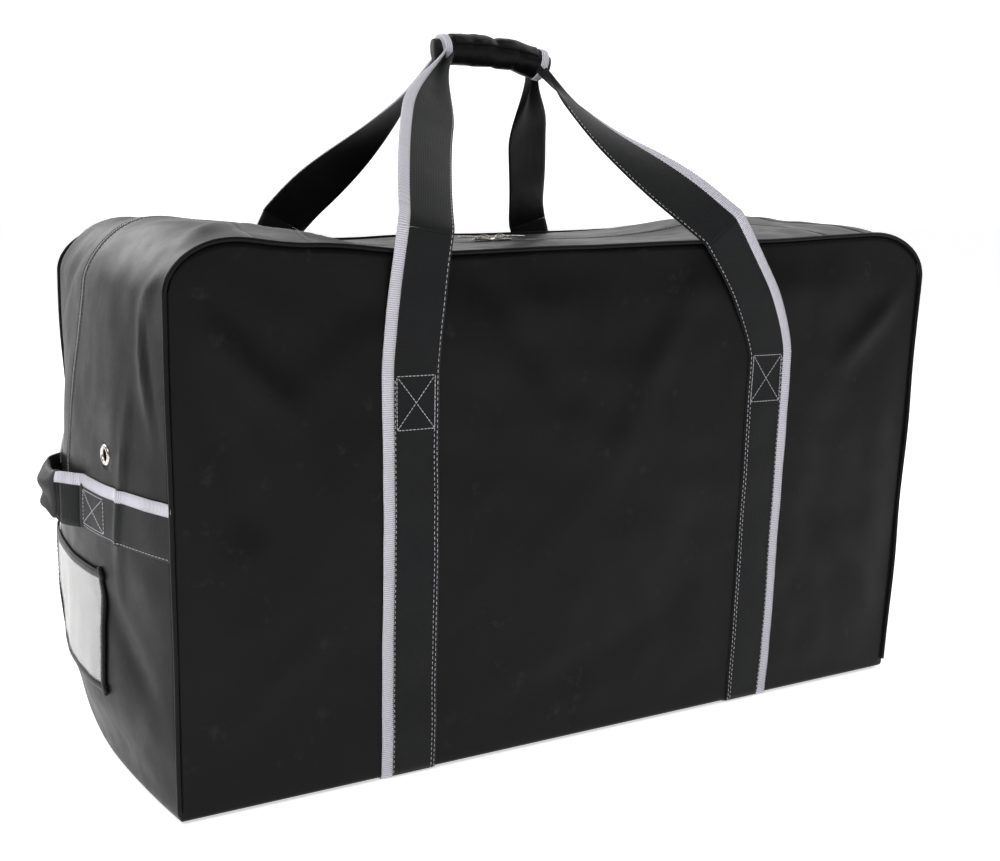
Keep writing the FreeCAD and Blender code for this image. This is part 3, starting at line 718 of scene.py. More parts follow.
@finish("Polyester thread, twisted")
def polyester_thread(tree, place):
    """Bonded polyester thread, twisted: pale grey, faintly shiny, its twist seen as fine slanting bands."""
    base = linear(hues().thread)
    # the plies turn once in about 0.8 mm
    twist = put(tree, "TexNoise", {"Vector": place.outputs["Object"], "Scale": 1 / (0.8 * MM), "Detail": 1.0})
    # where the twist's bump is low the thread is painted darker: painted shade in the hollows of the twist
    painted_twist_shade = put(tree, "MapRange", {0: twist, 1: 0.35, 2: 0.65})
    shade = put(tree, "Mix", {0: painted_twist_shade, 6: scaled(base, 0.6), 7: base}, data_type="RGBA")
    bump = put(tree, "Bump", {"Height": twist, "Strength": 0.5, "Distance": 0.1 * MM})
    return put(tree, "BsdfPrincipled", {"Base Color": shade, "Roughness": 0.5, "Normal": bump})


@finish("Polyester thread, black")
def dark_thread(tree, place):
    """Black polyester thread for the zip's own seams: satin, its stitches seen by their shine."""
    twist = put(tree, "TexNoise", {"Vector": place.outputs["Object"], "Scale": 1 / (0.8 * MM), "Detail": 1.0})
    # the black thread's colour rises to a pale grey on the twist noise: a painted shine that makes the
    # stitches show
    shade = put(tree, "Mix", {0: twist, 6: linear("1c1c1e"), 7: linear("5b5b60")}, data_type="RGBA")
    return put(tree, "BsdfPrincipled", {"Base Color": shade, "Roughness": 0.42})


@finish("Zinc, cast and nickel plated")
def nickel_plate(tree, place):
    """Nickel-plated zinc, cast and tumbled: warm bright metal, slightly scuffed, so its highlights are
    soft."""
    scuff = put(tree, "TexNoise", {"Vector": place.outputs["Object"], "Scale": 420.0, "Detail": 5.0,
                                   "Roughness": 0.7})
    dull = put(tree, "MapRange", {0: scuff, 1: 0.45, 2: 0.75, 3: 0.0, 4: 0.7})
    shade = put(tree, "Mix", {0: dull, 6: linear("d2cec6"), 7: linear("8f8a82")}, data_type="RGBA")
    rough = put(tree, "MapRange", {0: scuff, 1: 0.35, 2: 0.7, 3: 0.2, 4: 0.42})
    bump = put(tree, "Bump", {"Height": scuff, "Strength": 0.2, "Distance": 0.1 * MM})
    return put(tree, "BsdfPrincipled", {"Base Color": shade, "Roughness": rough, "Normal": bump,
                                        "Metallic": 1.0})


@finish("Nylon coil, wound")
def nylon_coil(tree, place):
    """Nylon zip coil, extruded and wound: black monofilament with a tight shine on each turn."""
    grime = put(tree, "TexNoise", {"Vector": place.outputs["Object"], "Scale": 160.0, "Detail": 4.0})
    grey = put(tree, "MapRange", {0: grime, 1: 0.5, 2: 0.75, 3: 0.0, 4: 0.6})
    shade = put(tree, "Mix", {0: grey, 6: linear("17171a"), 7: linear("47474b")}, data_type="RGBA")
    rough = put(tree, "MapRange", {0: grime, 1: 0.3, 2: 0.7, 3: 0.24, 4: 0.5})
    return put(tree, "BsdfPrincipled", {"Base Color": shade, "Roughness": rough, "IOR": 1.53})


@finish("Clear PVC film, cast")
def clear_film(tree, place):
    """Clear PVC film, cast: glassy, a little cloudy and wavy, with hairline scratches."""
    solid = place.outputs["Object"]
    haze = put(tree, "TexNoise", {"Vector": solid, "Scale": 24.0, "Detail": 4.0})
    hair = put(tree, "TexNoise", {"Vector": solid, "Scale": 260.0, "Detail": 6.0, "Roughness": 0.8})
    rough = put(tree, "MapRange", {0: hair, 1: 0.45, 2: 0.75, 3: 0.08, 4: 0.3})
    bump = put(tree, "Bump", {"Height": haze, "Strength": 0.5, "Distance": 1.5 * MM})
    clear = put(tree, "BsdfPrincipled", {"Base Color": linear("fbfbfb"), "Roughness": rough, "Normal": bump,
                                         "IOR": 1.53, "Transmission Weight": 1.0})
    hole = put(tree, "BsdfTransparent", {"Color": linear("fafafa")})
    both = put(tree, "MixShader", {0: 0.28, 1: hole, 2: clear})
    return both


@finish("Bristol card, calendered")
def bristol_card(tree, place):
    """Bristol card, calendered: a white board, matt, with a faint fibre fleck."""
    fibre = put(tree, "TexNoise", {"Vector": place.outputs["Object"], "Scale": 500.0, "Detail": 6.0,
                                   "Roughness": 0.8})
    # the card's colour is a mid grey, darker than the white board: painted shade
    base = linear(hues().card)
    speck = put(tree, "MapRange", {0: fibre, 1: 0.4, 2: 0.8, 3: 0.0, 4: 0.5})
    shade = put(tree, "Mix", {0: speck, 6: base, 7: scaled(base, 0.86)}, data_type="RGBA")
    bump = put(tree, "Bump", {"Height": fibre, "Strength": 0.15, "Distance": 0.1 * MM})
    return put(tree, "BsdfPrincipled", {"Base Color": shade, "Roughness": 0.7, "Normal": bump})


@finish("Thermoplastic rubber, extruded and ribbed")
def ribbed_rubber(tree, place):
    """Ribbed thermoplastic rubber tube, extruded: dark grey and matt, with rubbed patches; the mesh has the
    ribs."""
    wear = put(tree, "TexNoise", {"Vector": place.outputs["Object"], "Scale": 120.0, "Detail": 6.0,
                                  "Roughness": 0.7})
    base = linear(hues().wrap)
    rubbed = put(tree, "MapRange", {0: wear, 1: 0.4, 2: 0.7})
    shade = put(tree, "Mix", {0: rubbed, 6: scaled(base, 0.75), 7: scaled(base, 1.15)}, data_type="RGBA")
    rough = put(tree, "MapRange", {0: wear, 1: 0.3, 2: 0.7, 3: 0.5, 4: 0.75})
    bump = put(tree, "Bump", {"Height": wear, "Strength": 0.4, "Distance": 0.3 * MM})
    return put(tree, "BsdfPrincipled", {"Base Color": shade, "Roughness": rough, "Normal": bump})


@finish("Studio board, painted")
def painted_board(tree, place):
    """Painted studio board, rolled: pale, matt, with the faintest roller texture."""
    stipple = put(tree, "TexNoise", {"Vector": place.outputs["Object"], "Scale": 60.0, "Detail": 4.0})
    base = linear(hues().floor)
    shade = put(tree, "Mix", {0: stipple, 6: scaled(base, 0.985), 7: base}, data_type="RGBA")
    return put(tree, "BsdfPrincipled", {"Base Color": shade, "Roughness": 0.9,
                                        "Emission Color": linear("ffffff"),
                                        "Emission Strength": 0.62})


# ---------------------------------------------------------------- the skin and its seams
CELL = 7 * MM
ZIP_EDGE = 5 * MM
TURN_LENGTH = 58 * MM
GROMMETS = ((LEFT, FRONT), (RIGHT, BACK))
EYELET_LOW, EYELET_HIGH = box_of("grommets")
EYELET_Y = EYELET_HIGH.y - 10 * MM
EYELET_Z = (EYELET_LOW.z + EYELET_HIGH.z) / 2


def skin(name, rows, cloth):
    """A sheet of coated cloth with its thickness inwards and the woven backing inside."""
    piece = grid(name, rows, cloth)
    middle = piece.data.polygons[len(piece.data.polygons) // 2]
    if middle.normal.dot(middle.center - Vector((0, 0, TOP / 2))) < 0:
        piece.data.flip_normals()
    paint(piece, coated_vinyl(), coated_backing())
    return piece


def gusset_sheet(name, runs, depths, rolled=0):
    """Part of the gusset; rolled turns the edge nearest the zip under."""
    rows, cloth = [], []
    for run in runs:
        row = [gusset_point(run, depth)[0] for depth in depths]
        flat = [(depth * SEAM_Y, run) for depth in depths]
        if rolled:
            edge = depths[-1]
            back = edge + 3 * MM / SEAM_Y * rolled
            row += [gusset_point(run, edge, -0.8 * MM)[0], gusset_point(run, back, -1.6 * MM)[0]]
            flat += [(edge * SEAM_Y, run), (back * SEAM_Y, run)]
        rows.append(row)
        cloth.append(flat)
    return skin(name, rows, cloth)


def open_eyelet_hole(piece, centre, hole):
    """Cut the skin away behind an eyelet and draw the edge into a ring under its flange."""
    mesh = bmesh.new()
    mesh.from_mesh(piece.data)
    inner = [f for f in mesh.faces if (f.calc_center_median() - centre).length < hole]
    bmesh.ops.delete(mesh, geom=inner, context="FACES")
    for vertex in mesh.verts:
        away = vertex.co - centre
        if away.length < 1.4 * hole:
            vertex.co = centre + away.normalized() * hole * 1.05
    mesh.to_mesh(piece.data)
    mesh.free()


def u_lengths(face, make, slot, end_nodes, flap_node):
    """Make a piece beside the zip in five lengths, so that its middle folds open with the flap."""
    flap = FACE[face] + "_flap"
    inner = FLAP_HALF - TURN_LENGTH
    for side in (LEFT, RIGHT):
        low, high = sorted((run_at_height(side, ZIP_FOOT), run_at_x(side * FLAP_HALF)))
        settle(make(SIDE[side] + "_end", low, high), slot, end_nodes[side], "bag")
        low, high = sorted((run_at_x(side * FLAP_HALF), run_at_x(side * inner)))
        turn = settle(make(SIDE[side] + "_turn", low, high), slot)
        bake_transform(turn)
    settle(make("middle", run_at_x(-inner), run_at_x(inner)), slot, (flap_node,), flap)


class BAG_OT_gusset(bpy.types.Operator):
    """Build the ends and the top, in the cloth either side of the zip and the lower end panels"""
    bl_idname = "bag.gusset"
    bl_label = "Ends and top"

    def execute(self, context):
        for face in (FRONT, BACK):
            depths = [face * depth for depth in reversed(steps(ZIP_EDGE / SEAM_Y, 1.0, CELL / SEAM_Y))]

            def make(part, low, high):
                piece = gusset_sheet(f"{FACE[face]}_gusset_{part}", steps(low, high, CELL), depths,
                                     rolled=face)
                for side, end_face in GROMMETS:
                    if end_face == face and part == SIDE[side] + "_end":
                        depth = face * EYELET_Y / half_depth(EYELET_Z)
                        centre = gusset_point(run_at_height(side, EYELET_Z), depth)[0]
                        open_eyelet_hole(piece, centre, 7 * MM)
                return thicken(piece, shape().skin)

            nodes = {side: (f"{SIDE[side]}_{FACE[face]}_gusset",) for side in (LEFT, RIGHT)}
            u_lengths(face, make, "vinyl", nodes, f"{FACE[face]}_top_flap")
        for side in (LEFT, RIGHT):
            low, high = sorted((run_at_height(side, FOOT), run_at_height(side, ZIP_FOOT)))
            foot = run_at_height(side, FOOT)
            turn = [foot - side * share * TUCK for share in (0.04, 0.15, 0.3)]
            runs = sorted(set(steps(low, high, CELL) + turn))
            piece = gusset_sheet(f"{SIDE[side]}_end_cover", runs, steps(-1, 1, CELL / SEAM_Y))
            settle(thicken(piece, shape().skin), "vinyl", (SIDE[side] + "_end_panel",), "bag")
        return {"FINISHED"}


class BAG_OT_faces(bpy.types.Operator):
    """Build the front, the back and the bottom"""
    bl_idname = "bag.faces"
    bl_label = "Front, back and bottom"

    def execute(self, context):
        columns = steps(-HALF_LENGTH, HALF_LENGTH, CELL)
        for face in (FRONT, BACK):
            rows, cloth = [], []
            heights = [FOOT + TUCK * (1 - math.sin(math.radians(angle))) for angle in (90, 68, 45, 22)]
            shares = [(z - FOOT) / (TOP - FOOT) for z in heights] + steps(TUCK / TOP, 1, CELL / TOP)
            for share in shares:
                row = []
                for x in columns:
                    z = FOOT + (edge_height(face, x) - FOOT) * share
                    row.append(face_point(face, x, z))
                rows.append(row)
                cloth.append([(x, share * TOP) for x in columns])
            piece = thicken(skin(FACE[face] + "_cover", rows, cloth), shape().skin)
            settle(piece, "vinyl", (FACE[face] + "_panel",), "bag")
        rows, cloth = [], []
        depths = steps(-1, 1, CELL / SEAM_Y)
        for share in steps(-1, 1, CELL / HALF_LENGTH):
            row = []
            for depth in depths:
                reach = HALF_LENGTH - TUCK + bulge(FOOT) * (1 - depth * depth)
                x, y = share * reach, depth * (half_depth(FOOT) - TUCK)
                border = min(1 - abs(share), 1 - abs(depth))
                rise = (1.2 * MM + wobble(Vector((x * 6, y * 6, 3)), 2 * MM, 9.0)) * smooth(border, 0.0, 0.2)
                row.append(Vector((x + toe(x, y, 0), y, FOOT + max(0.0, rise))))
            rows.append(row)
            cloth.append([(share * HALF_LENGTH, depth * SEAM_Y) for depth in depths])
        piece = thicken(skin("bottom_cover", rows, cloth), shape().skin)
        settle(piece, "vinyl", ("bottom_panel",), "bag")
        return {"FINISHED"}


class BAG_OT_piping(bpy.types.Operator):
    """Build the piping along the front and back seams, with its sewn groove"""
    bl_idname = "bag.piping"
    bl_label = "Piping"

    def execute(self, context):
        for face in (FRONT, BACK):
            centres = []
            for run in steps(10 * MM, run_length() - 10 * MM, 5 * MM):
                point, normal = gusset_point(run, face * 1.0)
                centres.append(point + normal * 0.8 * MM + Vector((0, face * 0.4 * MM, 0)))

            def radius(share, angle):
                pinch = noise.noise(Vector((share * 260, face * 5.0, 0)))
                return shape().piping * (1 + 0.07 * pinch)

            cord = tube(FACE[face] + "_piping_cord", centres, radius, sides=14,
                        first_across=Vector((0, 1, 0)))
            paint(cord, coated_vinyl())
            settle(cord, "vinyl", (FACE[face] + "_piping",), "bag")
        return {"FINISHED"}


# ---------------------------------------------------------------- the zip
def zip_place(run, across, lift):
    """A place on the zip's line: across is measured from its centre, lift outwards."""
    point, normal = gusset_point(run, across / SEAM_Y, lift)
    return point


def tooth_row(name, face, low, high):
    """One side of the zip's coil: a small rounded bar for each turn, reaching just past the centre line."""
    points, faces = [], []
    pitch = trim().tooth
    count = int((high - low) / pitch)
    for number in range(count):
        run = low + (number + (0.25 if face > 0 else 0.75)) * pitch
        half = 0.36 * pitch
        start = len(points)
        for across in (-0.35 * MM, 0.3 * MM, 2.8 * MM, 3.7 * MM):
            inner = across in (0.3 * MM, 2.8 * MM)
            width = half if inner else 0.55 * half
            top = 0.9 * MM if inner else 0.45 * MM
            for run_side, lift in ((-1, -0.5 * MM), (-1, 0.45 * top), (0, top), (1, 0.45 * top),
                                   (1, -0.5 * MM)):
                points.append(zip_place(run + run_side * width, face * across, lift))
        for ring in range(3):
            for i in range(5):
                a = start + ring * 5 + i
                b = start + ring * 5 + (i + 1) % 5
                faces.append((a, b, b + 5, a + 5))
        faces.append(tuple(start + i for i in range(5)))
        faces.append(tuple(start + 15 + i for i in reversed(range(5))))
    return make_object(name, points, faces)


class BAG_OT_zip(bpy.types.Operator):
    """Build the zip's tapes, coil, stitching and bottom stops"""
    bl_idname = "bag.zip"
    bl_label = "Zip"

    def execute(self, context):
        for face in (FRONT, BACK):
            def tape(part, low, high):
                strip = ribbon(f"{FACE[face]}_zip_tape_{part}", steps(low, high, 5 * MM), zip_place,
                               face * 0.9 * MM, face * 15 * MM, -2.6 * MM, 0.6 * MM, columns=5)
                return paint(strip, zip_cloth())

            def teeth(part, low, high):
                return paint(tooth_row(f"{FACE[face]}_zip_coil_{part}", face, low, high), nylon_coil())

            def seam(part, low, high):
                row = stitch_row(f"{FACE[face]}_zip_stitching_{part}", steps(low, high, 6 * MM), zip_place,
                                 face * (ZIP_EDGE + 3 * MM), 0.1 * MM, pitch=4.2 * MM, length=3 * MM,
                                 radius=0.35 * MM)
                return paint(row, dark_thread())

            end_tapes = {side: ("end_zip_tapes",) for side in (LEFT, RIGHT)}
            end_coils = {side: ("end_zip_coils",) for side in (LEFT, RIGHT)}
            u_lengths(face, tape, "zip_tape", end_tapes, f"{FACE[face]}_zip_tape")
            u_lengths(face, teeth, "zip_coil", end_coils, f"{FACE[face]}_zip_coil")
            u_lengths(face, seam, "thread", {LEFT: (), RIGHT: ()}, f"{FACE[face]}_zip_coil")
        for side in (LEFT, RIGHT):
            low = run_at_height(side, ZIP_FOOT)
            stations = [low - side * step * MM for step in (0.5, 1.0, 2.0, 4.0, 5.0, 5.5)]
            stop = ribbon(SIDE[side] + "_zip_stop", stations, zip_place, -3.8 * MM, 3.8 * MM, -1 * MM,
                          2.2 * MM,
                          columns=5)
            settle(paint(stop, nickel_plate()), "nickel", ("zip_bottom_stops",), "bag")
        return {"FINISHED"}


def slab(name, outline, low, high, bevel):
    """A flat plate with rounded edges from an outline of (x, y)."""
    points = [Vector((x, y, z)) for z in (low, high) for x, y in outline]
    count = len(outline)
    faces = [tuple(reversed(range(count))), tuple(range(count, 2 * count))]
    faces += [(i, (i + 1) % count, count + (i + 1) % count, count + i) for i in range(count)]
    piece = make_object(name, points, faces)
    edge = piece.modifiers.new("edge", "BEVEL")
    edge.width = bevel
    edge.segments = 3
    edge.limit_method = "ANGLE"
    return bake(piece)


def loop(centre_x, centre_y, half_x, half_y, count=28):
    return [Vector((centre_x + half_x * math.cos(2 * math.pi * i / count),
                    centre_y + half_y * math.sin(2 * math.pi * i / count), 0)) for i in range(count)]


class BAG_OT_sliders(bpy.types.Operator):
    """Build the two zip sliders and their pull tabs"""
    bl_idname = "bag.sliders"
    bl_label = "Zip sliders and tabs"

    def execute(self, context):
        for side in (LEFT, RIGHT):
            node = SIDE[side] + "_zip_slider"
            low, high = box_of(node)
            length = high.x - low.x
            near = min(abs(low.x), abs(high.x))
            base = gusset_point(run_at_x(side * (near + length / 2)), 0)[0].z + 1.4 * MM
            half = (high.y - low.y) / 2

            def at(share, across):
                return side * (near + share * length), across

            shield = [at(0, 0.80 * half), at(0.12, half), at(0.45, 0.95 * half), at(0.7, 0.62 * half),
                      at(1, 0.5 * half)]
            shield = shield + [(x, -y) for x, y in reversed(shield)]
            plate = slab(node + "_plate", shield, base, base + 1.5 * MM, 0.6 * MM)
            ridge_outline = [at(0.08, 0.3 * half), at(0.92, 0.22 * half), at(0.92, -0.22 * half),
                             at(0.08, -0.3 * half)]
            ridge = slab(node + "_ridge", ridge_outline, base + 1.2 * MM, base + 2.3 * MM, 0.5 * MM)
            arch = []
            for angle in steps(0, math.pi, math.pi / 14):
                x = side * (near + length * (0.42 - 0.26 * math.cos(angle)))
                arch.append(Vector((x, 0, base + 1.6 * MM + 4.0 * MM * math.sin(angle) ** 0.7)))
            bail = tube(node + "_bail", arch, 0.9 * MM, sides=10, first_across=Vector((0, 1, 0)))
            for part in (plate, ridge, bail):
                paint(part, nickel_plate())
            body = join(node + "_body", [plate, ridge, bail])
            settle(body, "nickel", (node,), SIDE[side] + "_slider")

            tab = SIDE[side] + "_pull_tab"
            tab_low, tab_high = box_of(tab)
            reach = tab_high.x - tab_low.x
            start = min(abs(tab_low.x), abs(tab_high.x))
            level = base + 3.9 * MM
            wide = (tab_high.y - tab_low.y) / 2

            def tab_at(share, across):
                return side * (start + share * reach), across

            strip = [tab_at(0.24, 0.45 * wide), tab_at(0.34, 0.9 * wide), tab_at(0.9, wide),
                     tab_at(0.97, 0.75 * wide),
                     tab_at(1.0, 0.35 * wide)]
            strip = strip + [(x, -y) for x, y in reversed(strip)]
            leaf = slab(tab + "_leaf", strip, level - 0.7 * MM, level + 0.7 * MM, 0.45 * MM)
            grip_lines = []
            for share in (0.5, 0.58, 0.66, 0.74, 0.82):
                line = [Vector((*tab_at(share, across * wide), level + 0.65 * MM))
                        for across in (-0.7, -0.3, 0.3, 0.7)]
                grip_lines.append(tube(tab + "_line", line, 0.35 * MM, sides=8,
                                       first_across=Vector((0, 0, 1))))
            ring = [point + Vector((0, 0, level)) for point in loop(side * (start + 0.14 * reach), 0,
                                                                    0.14 * reach, 0.72 * wide)]
            eye = tube(tab + "_eye", ring + ring[:2], 0.75 * MM, sides=10, first_across=Vector((0, 0, 1)))
            parts = [leaf, eye] + grip_lines
            for part in parts:
                paint(part, nickel_plate())
            settle(join(tab + "_piece", parts), "nickel", (tab,), SIDE[side] + "_tab")
        return {"FINISHED"}


# ---------------------------------------------------------------- carry straps
BOX_LOW, BOX_HIGH = box_of("strap_box_stitching")
SEWN_TOP = BOX_HIGH.z
BOX_HEIGHT = BOX_HIGH.z - BOX_LOW.z
LEG_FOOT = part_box("left_front_leg")[0][2]
# How far each strap leans towards the grip where it crosses the top seam.
LEANS = {(LEFT, FRONT): 14 * MM, (RIGHT, FRONT): -72 * MM, (LEFT, BACK): 50 * MM, (RIGHT, BACK): -27 * MM}
# How far each leg swings off the straight line to the grip, and turns about its own length, in radians.
BOWS = {(LEFT, FRONT): (-34 * MM, 0, 0), (RIGHT, FRONT): (-4 * MM, 0, -22 * MM),
        (LEFT, BACK): (3 * MM, 0, -13 * MM), (RIGHT, BACK): (0, 0, 0)}
TWISTS = {(LEFT, FRONT): 0.0, (RIGHT, FRONT): 1.1, (LEFT, BACK): 1.3, (RIGHT, BACK): 0.0}


def strap_centre(side, face, z):
    """The strap's middle and its slant at a height on one face."""
    free = min(1.3, max(0.0, (z - SEWN_TOP) / (LEG_FOOT - SEWN_TOP)))
    lean = LEANS[(side, face)]
    slant = math.atan2(1.4 * lean * free ** 0.4, LEG_FOOT - SEWN_TOP) if free else 0.0
    return side * STRAP_X + lean * free ** 1.4, slant


def strap_place(side):
    """Places along a carry strap; a station is (face, height), or (0, depth) under the bottom."""
    def place(station, across, lift):
        face, value = station
        if face == 0:
            x = side * STRAP_X + across
            return Vector((x + toe(x, value, 0), value, max(0.1 * MM, FOOT - lift)))
        x, slant = strap_centre(side, face, value)
        free = smooth(value, SEWN_TOP + 4 * MM, TOP)
        z = value - across * math.sin(slant)
        point = face_point(face, x + across * math.cos(slant), z, lift + 4.5 * MM * free)
        point.z = max(0.1 * MM, point.z)
        return point
    return place


def strap_stations():
    """Down the front, under the bottom and up the back."""
    turn = [FOOT + TUCK * (1 - math.sin(math.radians(angle))) for angle in (0, 15, 30, 45, 60, 75, 90)]
    fine = trim().rib / 2
    front = [(FRONT, z) for z in steps(LEG_FOOT, FOOT + TUCK, fine)] + [(FRONT, z) for z in turn[1:]]
    under = [(0, y) for y in steps(-(half_depth(FOOT) - TUCK), half_depth(FOOT) - TUCK, fine)]
    back = [(BACK, z) for _, z in reversed(front)]
    return front[:-1] + under + back[1:]


def leg_frames(side, face):
    """Frames from where a strap leaves the seam to its end in the grip."""
    place = strap_place(side)
    start = place((face, LEG_FOOT), 0, 0)
    sideways = (place((face, LEG_FOOT), STRAP_HALF, 0) - start).normalized()
    ahead = (start - place((face, LEG_FOOT - 6 * MM), 0, 0)).normalized()
    goal = grip_line(0.0 if side == LEFT else 1.0) + Vector((-side * 10 * MM, face * 5 * MM, -1 * MM))
    first, second = start + ahead * 18 * MM, start.lerp(goal, 0.62) + Vector(BOWS[(side, face)])
    centres = []
    for share in steps(0, 1, 1 / 150):
        rest = 1 - share
        centres.append(start * rest ** 3 + first * 3 * share * rest ** 2 + second * 3 * share ** 2 * rest
                       + goal * share ** 3)
    frames = []
    for number, (centre, across, outward) in enumerate(frames_on(centres, sideways)):
        ahead = centres[min(number + 1, len(centres) - 1)] - centres[max(number - 1, 0)]
        turn = Quaternion(ahead.normalized(), TWISTS[(side, face)] * smooth(number / len(centres), 0.3, 1.0))
        frames.append((centre, turn @ across, (turn @ outward) * face))
    return frames


def leg_place(frames, side, face):
    """Places on a leg: flat webbing that gathers into pleats where it runs into the grip."""
    last = len(frames) - 1

    def place(station, across, lift):
        centre, sideways, outward = frames[station]
        share = station / last
        pinch = smooth(share, 0.66 if side * face == RIGHT else 0.8, 0.97)
        sway = wobble(Vector((share * 3, side * 5, face * 3)), 4 * MM, 3.0) * smooth(share, 0, 0.2)
        cup = 2.5 * MM * math.cos(across / STRAP_HALF * 1.5) * smooth(share, 0.05, 0.4) * (1 - pinch)
        pleat = 5 * MM * pinch * math.sin(across / STRAP_HALF * 4.3 + side * 0.7)
        return centre + sideways * across * (1 - 0.78 * pinch) + outward * (lift + pleat + cup + sway)
    return place


# How far in from the inner edge the webbing's edge row is stitched.
EDGE_ROW = 2.2 * MM


def tape_band(side, half=None):
    """The edge tape's two edges across a strap, on its outer side."""
    half = half or STRAP_HALF
    return sorted((side * (half - trim().tape), side * (half + 0.7 * MM)))


class BAG_OT_carry_straps(bpy.types.Operator):
    """Build the sewn webbing that runs under the bag, with its tape, stitch rows and box stitches"""
    bl_idname = "bag.carry_straps"
    bl_label = "Carry straps"

    def execute(self, context):
        webbing = trim().webbing
        for side in (LEFT, RIGHT):
            place = strap_place(side)
            stations = strap_stations()
            nodes = [f"{SIDE[side]}_{part}_strap" for part in ("front", "back", "bottom")]
            strap = ribbon(SIDE[side] + "_carry_strap", stations[::3] + [stations[-1]], place, -STRAP_HALF,
                           STRAP_HALF, 0.1 * MM, webbing, columns=11)
            settle(paint(strap, polyester_webbing()), "webbing", nodes, "bag")
            low, high = tape_band(side)
            tape = ribbon(SIDE[side] + "_carry_strap_tape", stations, place, low, high, 0.2 * MM,
                          webbing + 0.5 * MM,
                          columns=4, wave=0.35 * MM, rib=0.25 * MM)
            settle(paint(tape, grosgrain()), "white_tape", ("strap_edge_tapes",), "bag")
            rows = []
            sewn = [station for station in stations[::4] if station[0] == 0 or station[1] <= SEWN_TOP]
            for stretch, inset in ((stations[::4], EDGE_ROW), (sewn, EDGE_ROW + 3 * MM)):
                rows.append(stitch_row("row", stretch, place, -side * (STRAP_HALF - inset),
                                       webbing + 0.2 * MM))
            rows.append(stitch_row("row", sewn, place, side * (STRAP_HALF - trim().tape - 1.2 * MM),
                                   webbing + 0.2 * MM))
            for face in (FRONT, BACK):
                rows += box_stitch(place, face, side)
            settle(paint(join(SIDE[side] + "_strap_stitching", rows), polyester_thread()), "thread",
                   ("strap_box_stitching",), "bag")
        return {"FINISHED"}


# The box stitches are longer and of thicker thread than the rows.
BOX_PITCH, BOX_STITCH, BOX_THREAD = 3.8 * MM, 3.3 * MM, 0.4 * MM


def crossed_box(corners, place):
    """A stitched box with a cross in it, its corners in order round it, laid by place(first, second,
    lift)."""
    lines = list(zip(corners, corners[1:] + corners[:1])) + [(corners[0], corners[2]),
                                                             (corners[1], corners[3])]
    rows = []
    for start, end in lines:
        def spot(share, across, lift, start=start, end=end):
            first, second = (low + (high - low) * share for low, high in zip(start, end))
            return place(first, second, lift)
        rows.append(stitch_row("box", steps(0, 1, 0.1), spot, 0, trim().webbing + 0.25 * MM, pitch=BOX_PITCH,
                               length=BOX_STITCH, radius=BOX_THREAD))
    return rows


def box_stitch(place, face, side):
    """The box and cross at the top of a carry strap's sewn length."""
    inner, outer = -side * (STRAP_HALF - 5 * MM), side * (STRAP_HALF - trim().tape - 3 * MM)
    low, high = SEWN_TOP - BOX_HEIGHT, SEWN_TOP
    corners = ((inner, low), (outer, low), (outer, high), (inner, high))
    return crossed_box(corners, lambda across, height, lift: place((face, height), across, lift))


class BAG_OT_legs(bpy.types.Operator):
    """Build the four free ends of the carry straps, gathered into the grip"""
    bl_idname = "bag.legs"
    bl_label = "Handle legs"

    def execute(self, context):
        for side in (LEFT, RIGHT):
            for face in (FRONT, BACK):
                place = leg_place(leg_frames(side, face), side, face)
                name = f"{SIDE[side]}_{FACE[face]}_leg"
                webbing = ribbon(name + "_webbing", list(range(0, 151, 2)), place, -STRAP_HALF, STRAP_HALF,
                                 0.1 * MM,
                                 trim().webbing, columns=17)
                paint(webbing, polyester_webbing())
                low, high = tape_band(side)
                tape = ribbon(name + "_tape", list(range(151)), place, low, high, 0.2 * MM,
                              trim().webbing + 0.5 * MM, columns=4, wave=0.35 * MM, rib=0.25 * MM)
                paint(tape, grosgrain())
                thread = stitch_row(name + "_stitching", list(range(0, 125, 5)), place,
                                    -side * (STRAP_HALF - EDGE_ROW), trim().webbing + 0.2 * MM)
                paint(thread, polyester_thread())
                for piece, slot, nodes in ((webbing, "webbing", (name,)),
                                           (tape, "white_tape", ("leg_edge_tapes",)),
                                           (thread, "thread", ())):
                    settle(piece, slot, nodes)
                    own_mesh(piece)
                    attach(piece, "bag")
        return {"FINISHED"}


# ---------------------------------------------------------------- grip
GRIP_RADIUS = (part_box("grip_sleeve")[1][2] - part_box("grip_sleeve")[0][2]) / 2


def grip_line(share):
    """The grip's slightly arched middle line, its right end a little lower."""
    x = -GRIP_HALF - 2 * MM + (2 * GRIP_HALF - 2 * MM) * share
    return Vector((x, 0, GRIP_Z - 5 * MM + 6 * MM * (1 - (2 * share - 1) ** 2) - 8 * MM * share))


def grip_radius(grow=0.0):
    """The sleeve's uneven outline: flattened, with soft creases across its middle."""
    def radius(share, angle):
        crease = -0.0022 * math.exp(-((share - 0.50) / 0.035) ** 2) * (0.6 + 0.4 * math.sin(angle + 2.4))
        crease -= 0.0014 * math.exp(-((share - 0.72) / 0.03) ** 2) * (0.5 + 0.5 * math.sin(angle - 1.0))
        crease -= 0.0012 * math.exp(-((share - 0.27) / 0.04) ** 2) * (0.5 + 0.5 * math.sin(angle + 0.5))
        place = Vector((share * 5, math.cos(angle) * 0.9, math.sin(angle) * 0.9))
        soft = wobble(place, 1.6 * MM, 11.0) + wobble(place * 3, 0.6 * MM, 12.0)
        return GRIP_RADIUS * 0.97 + crease + soft + grow
    return radius


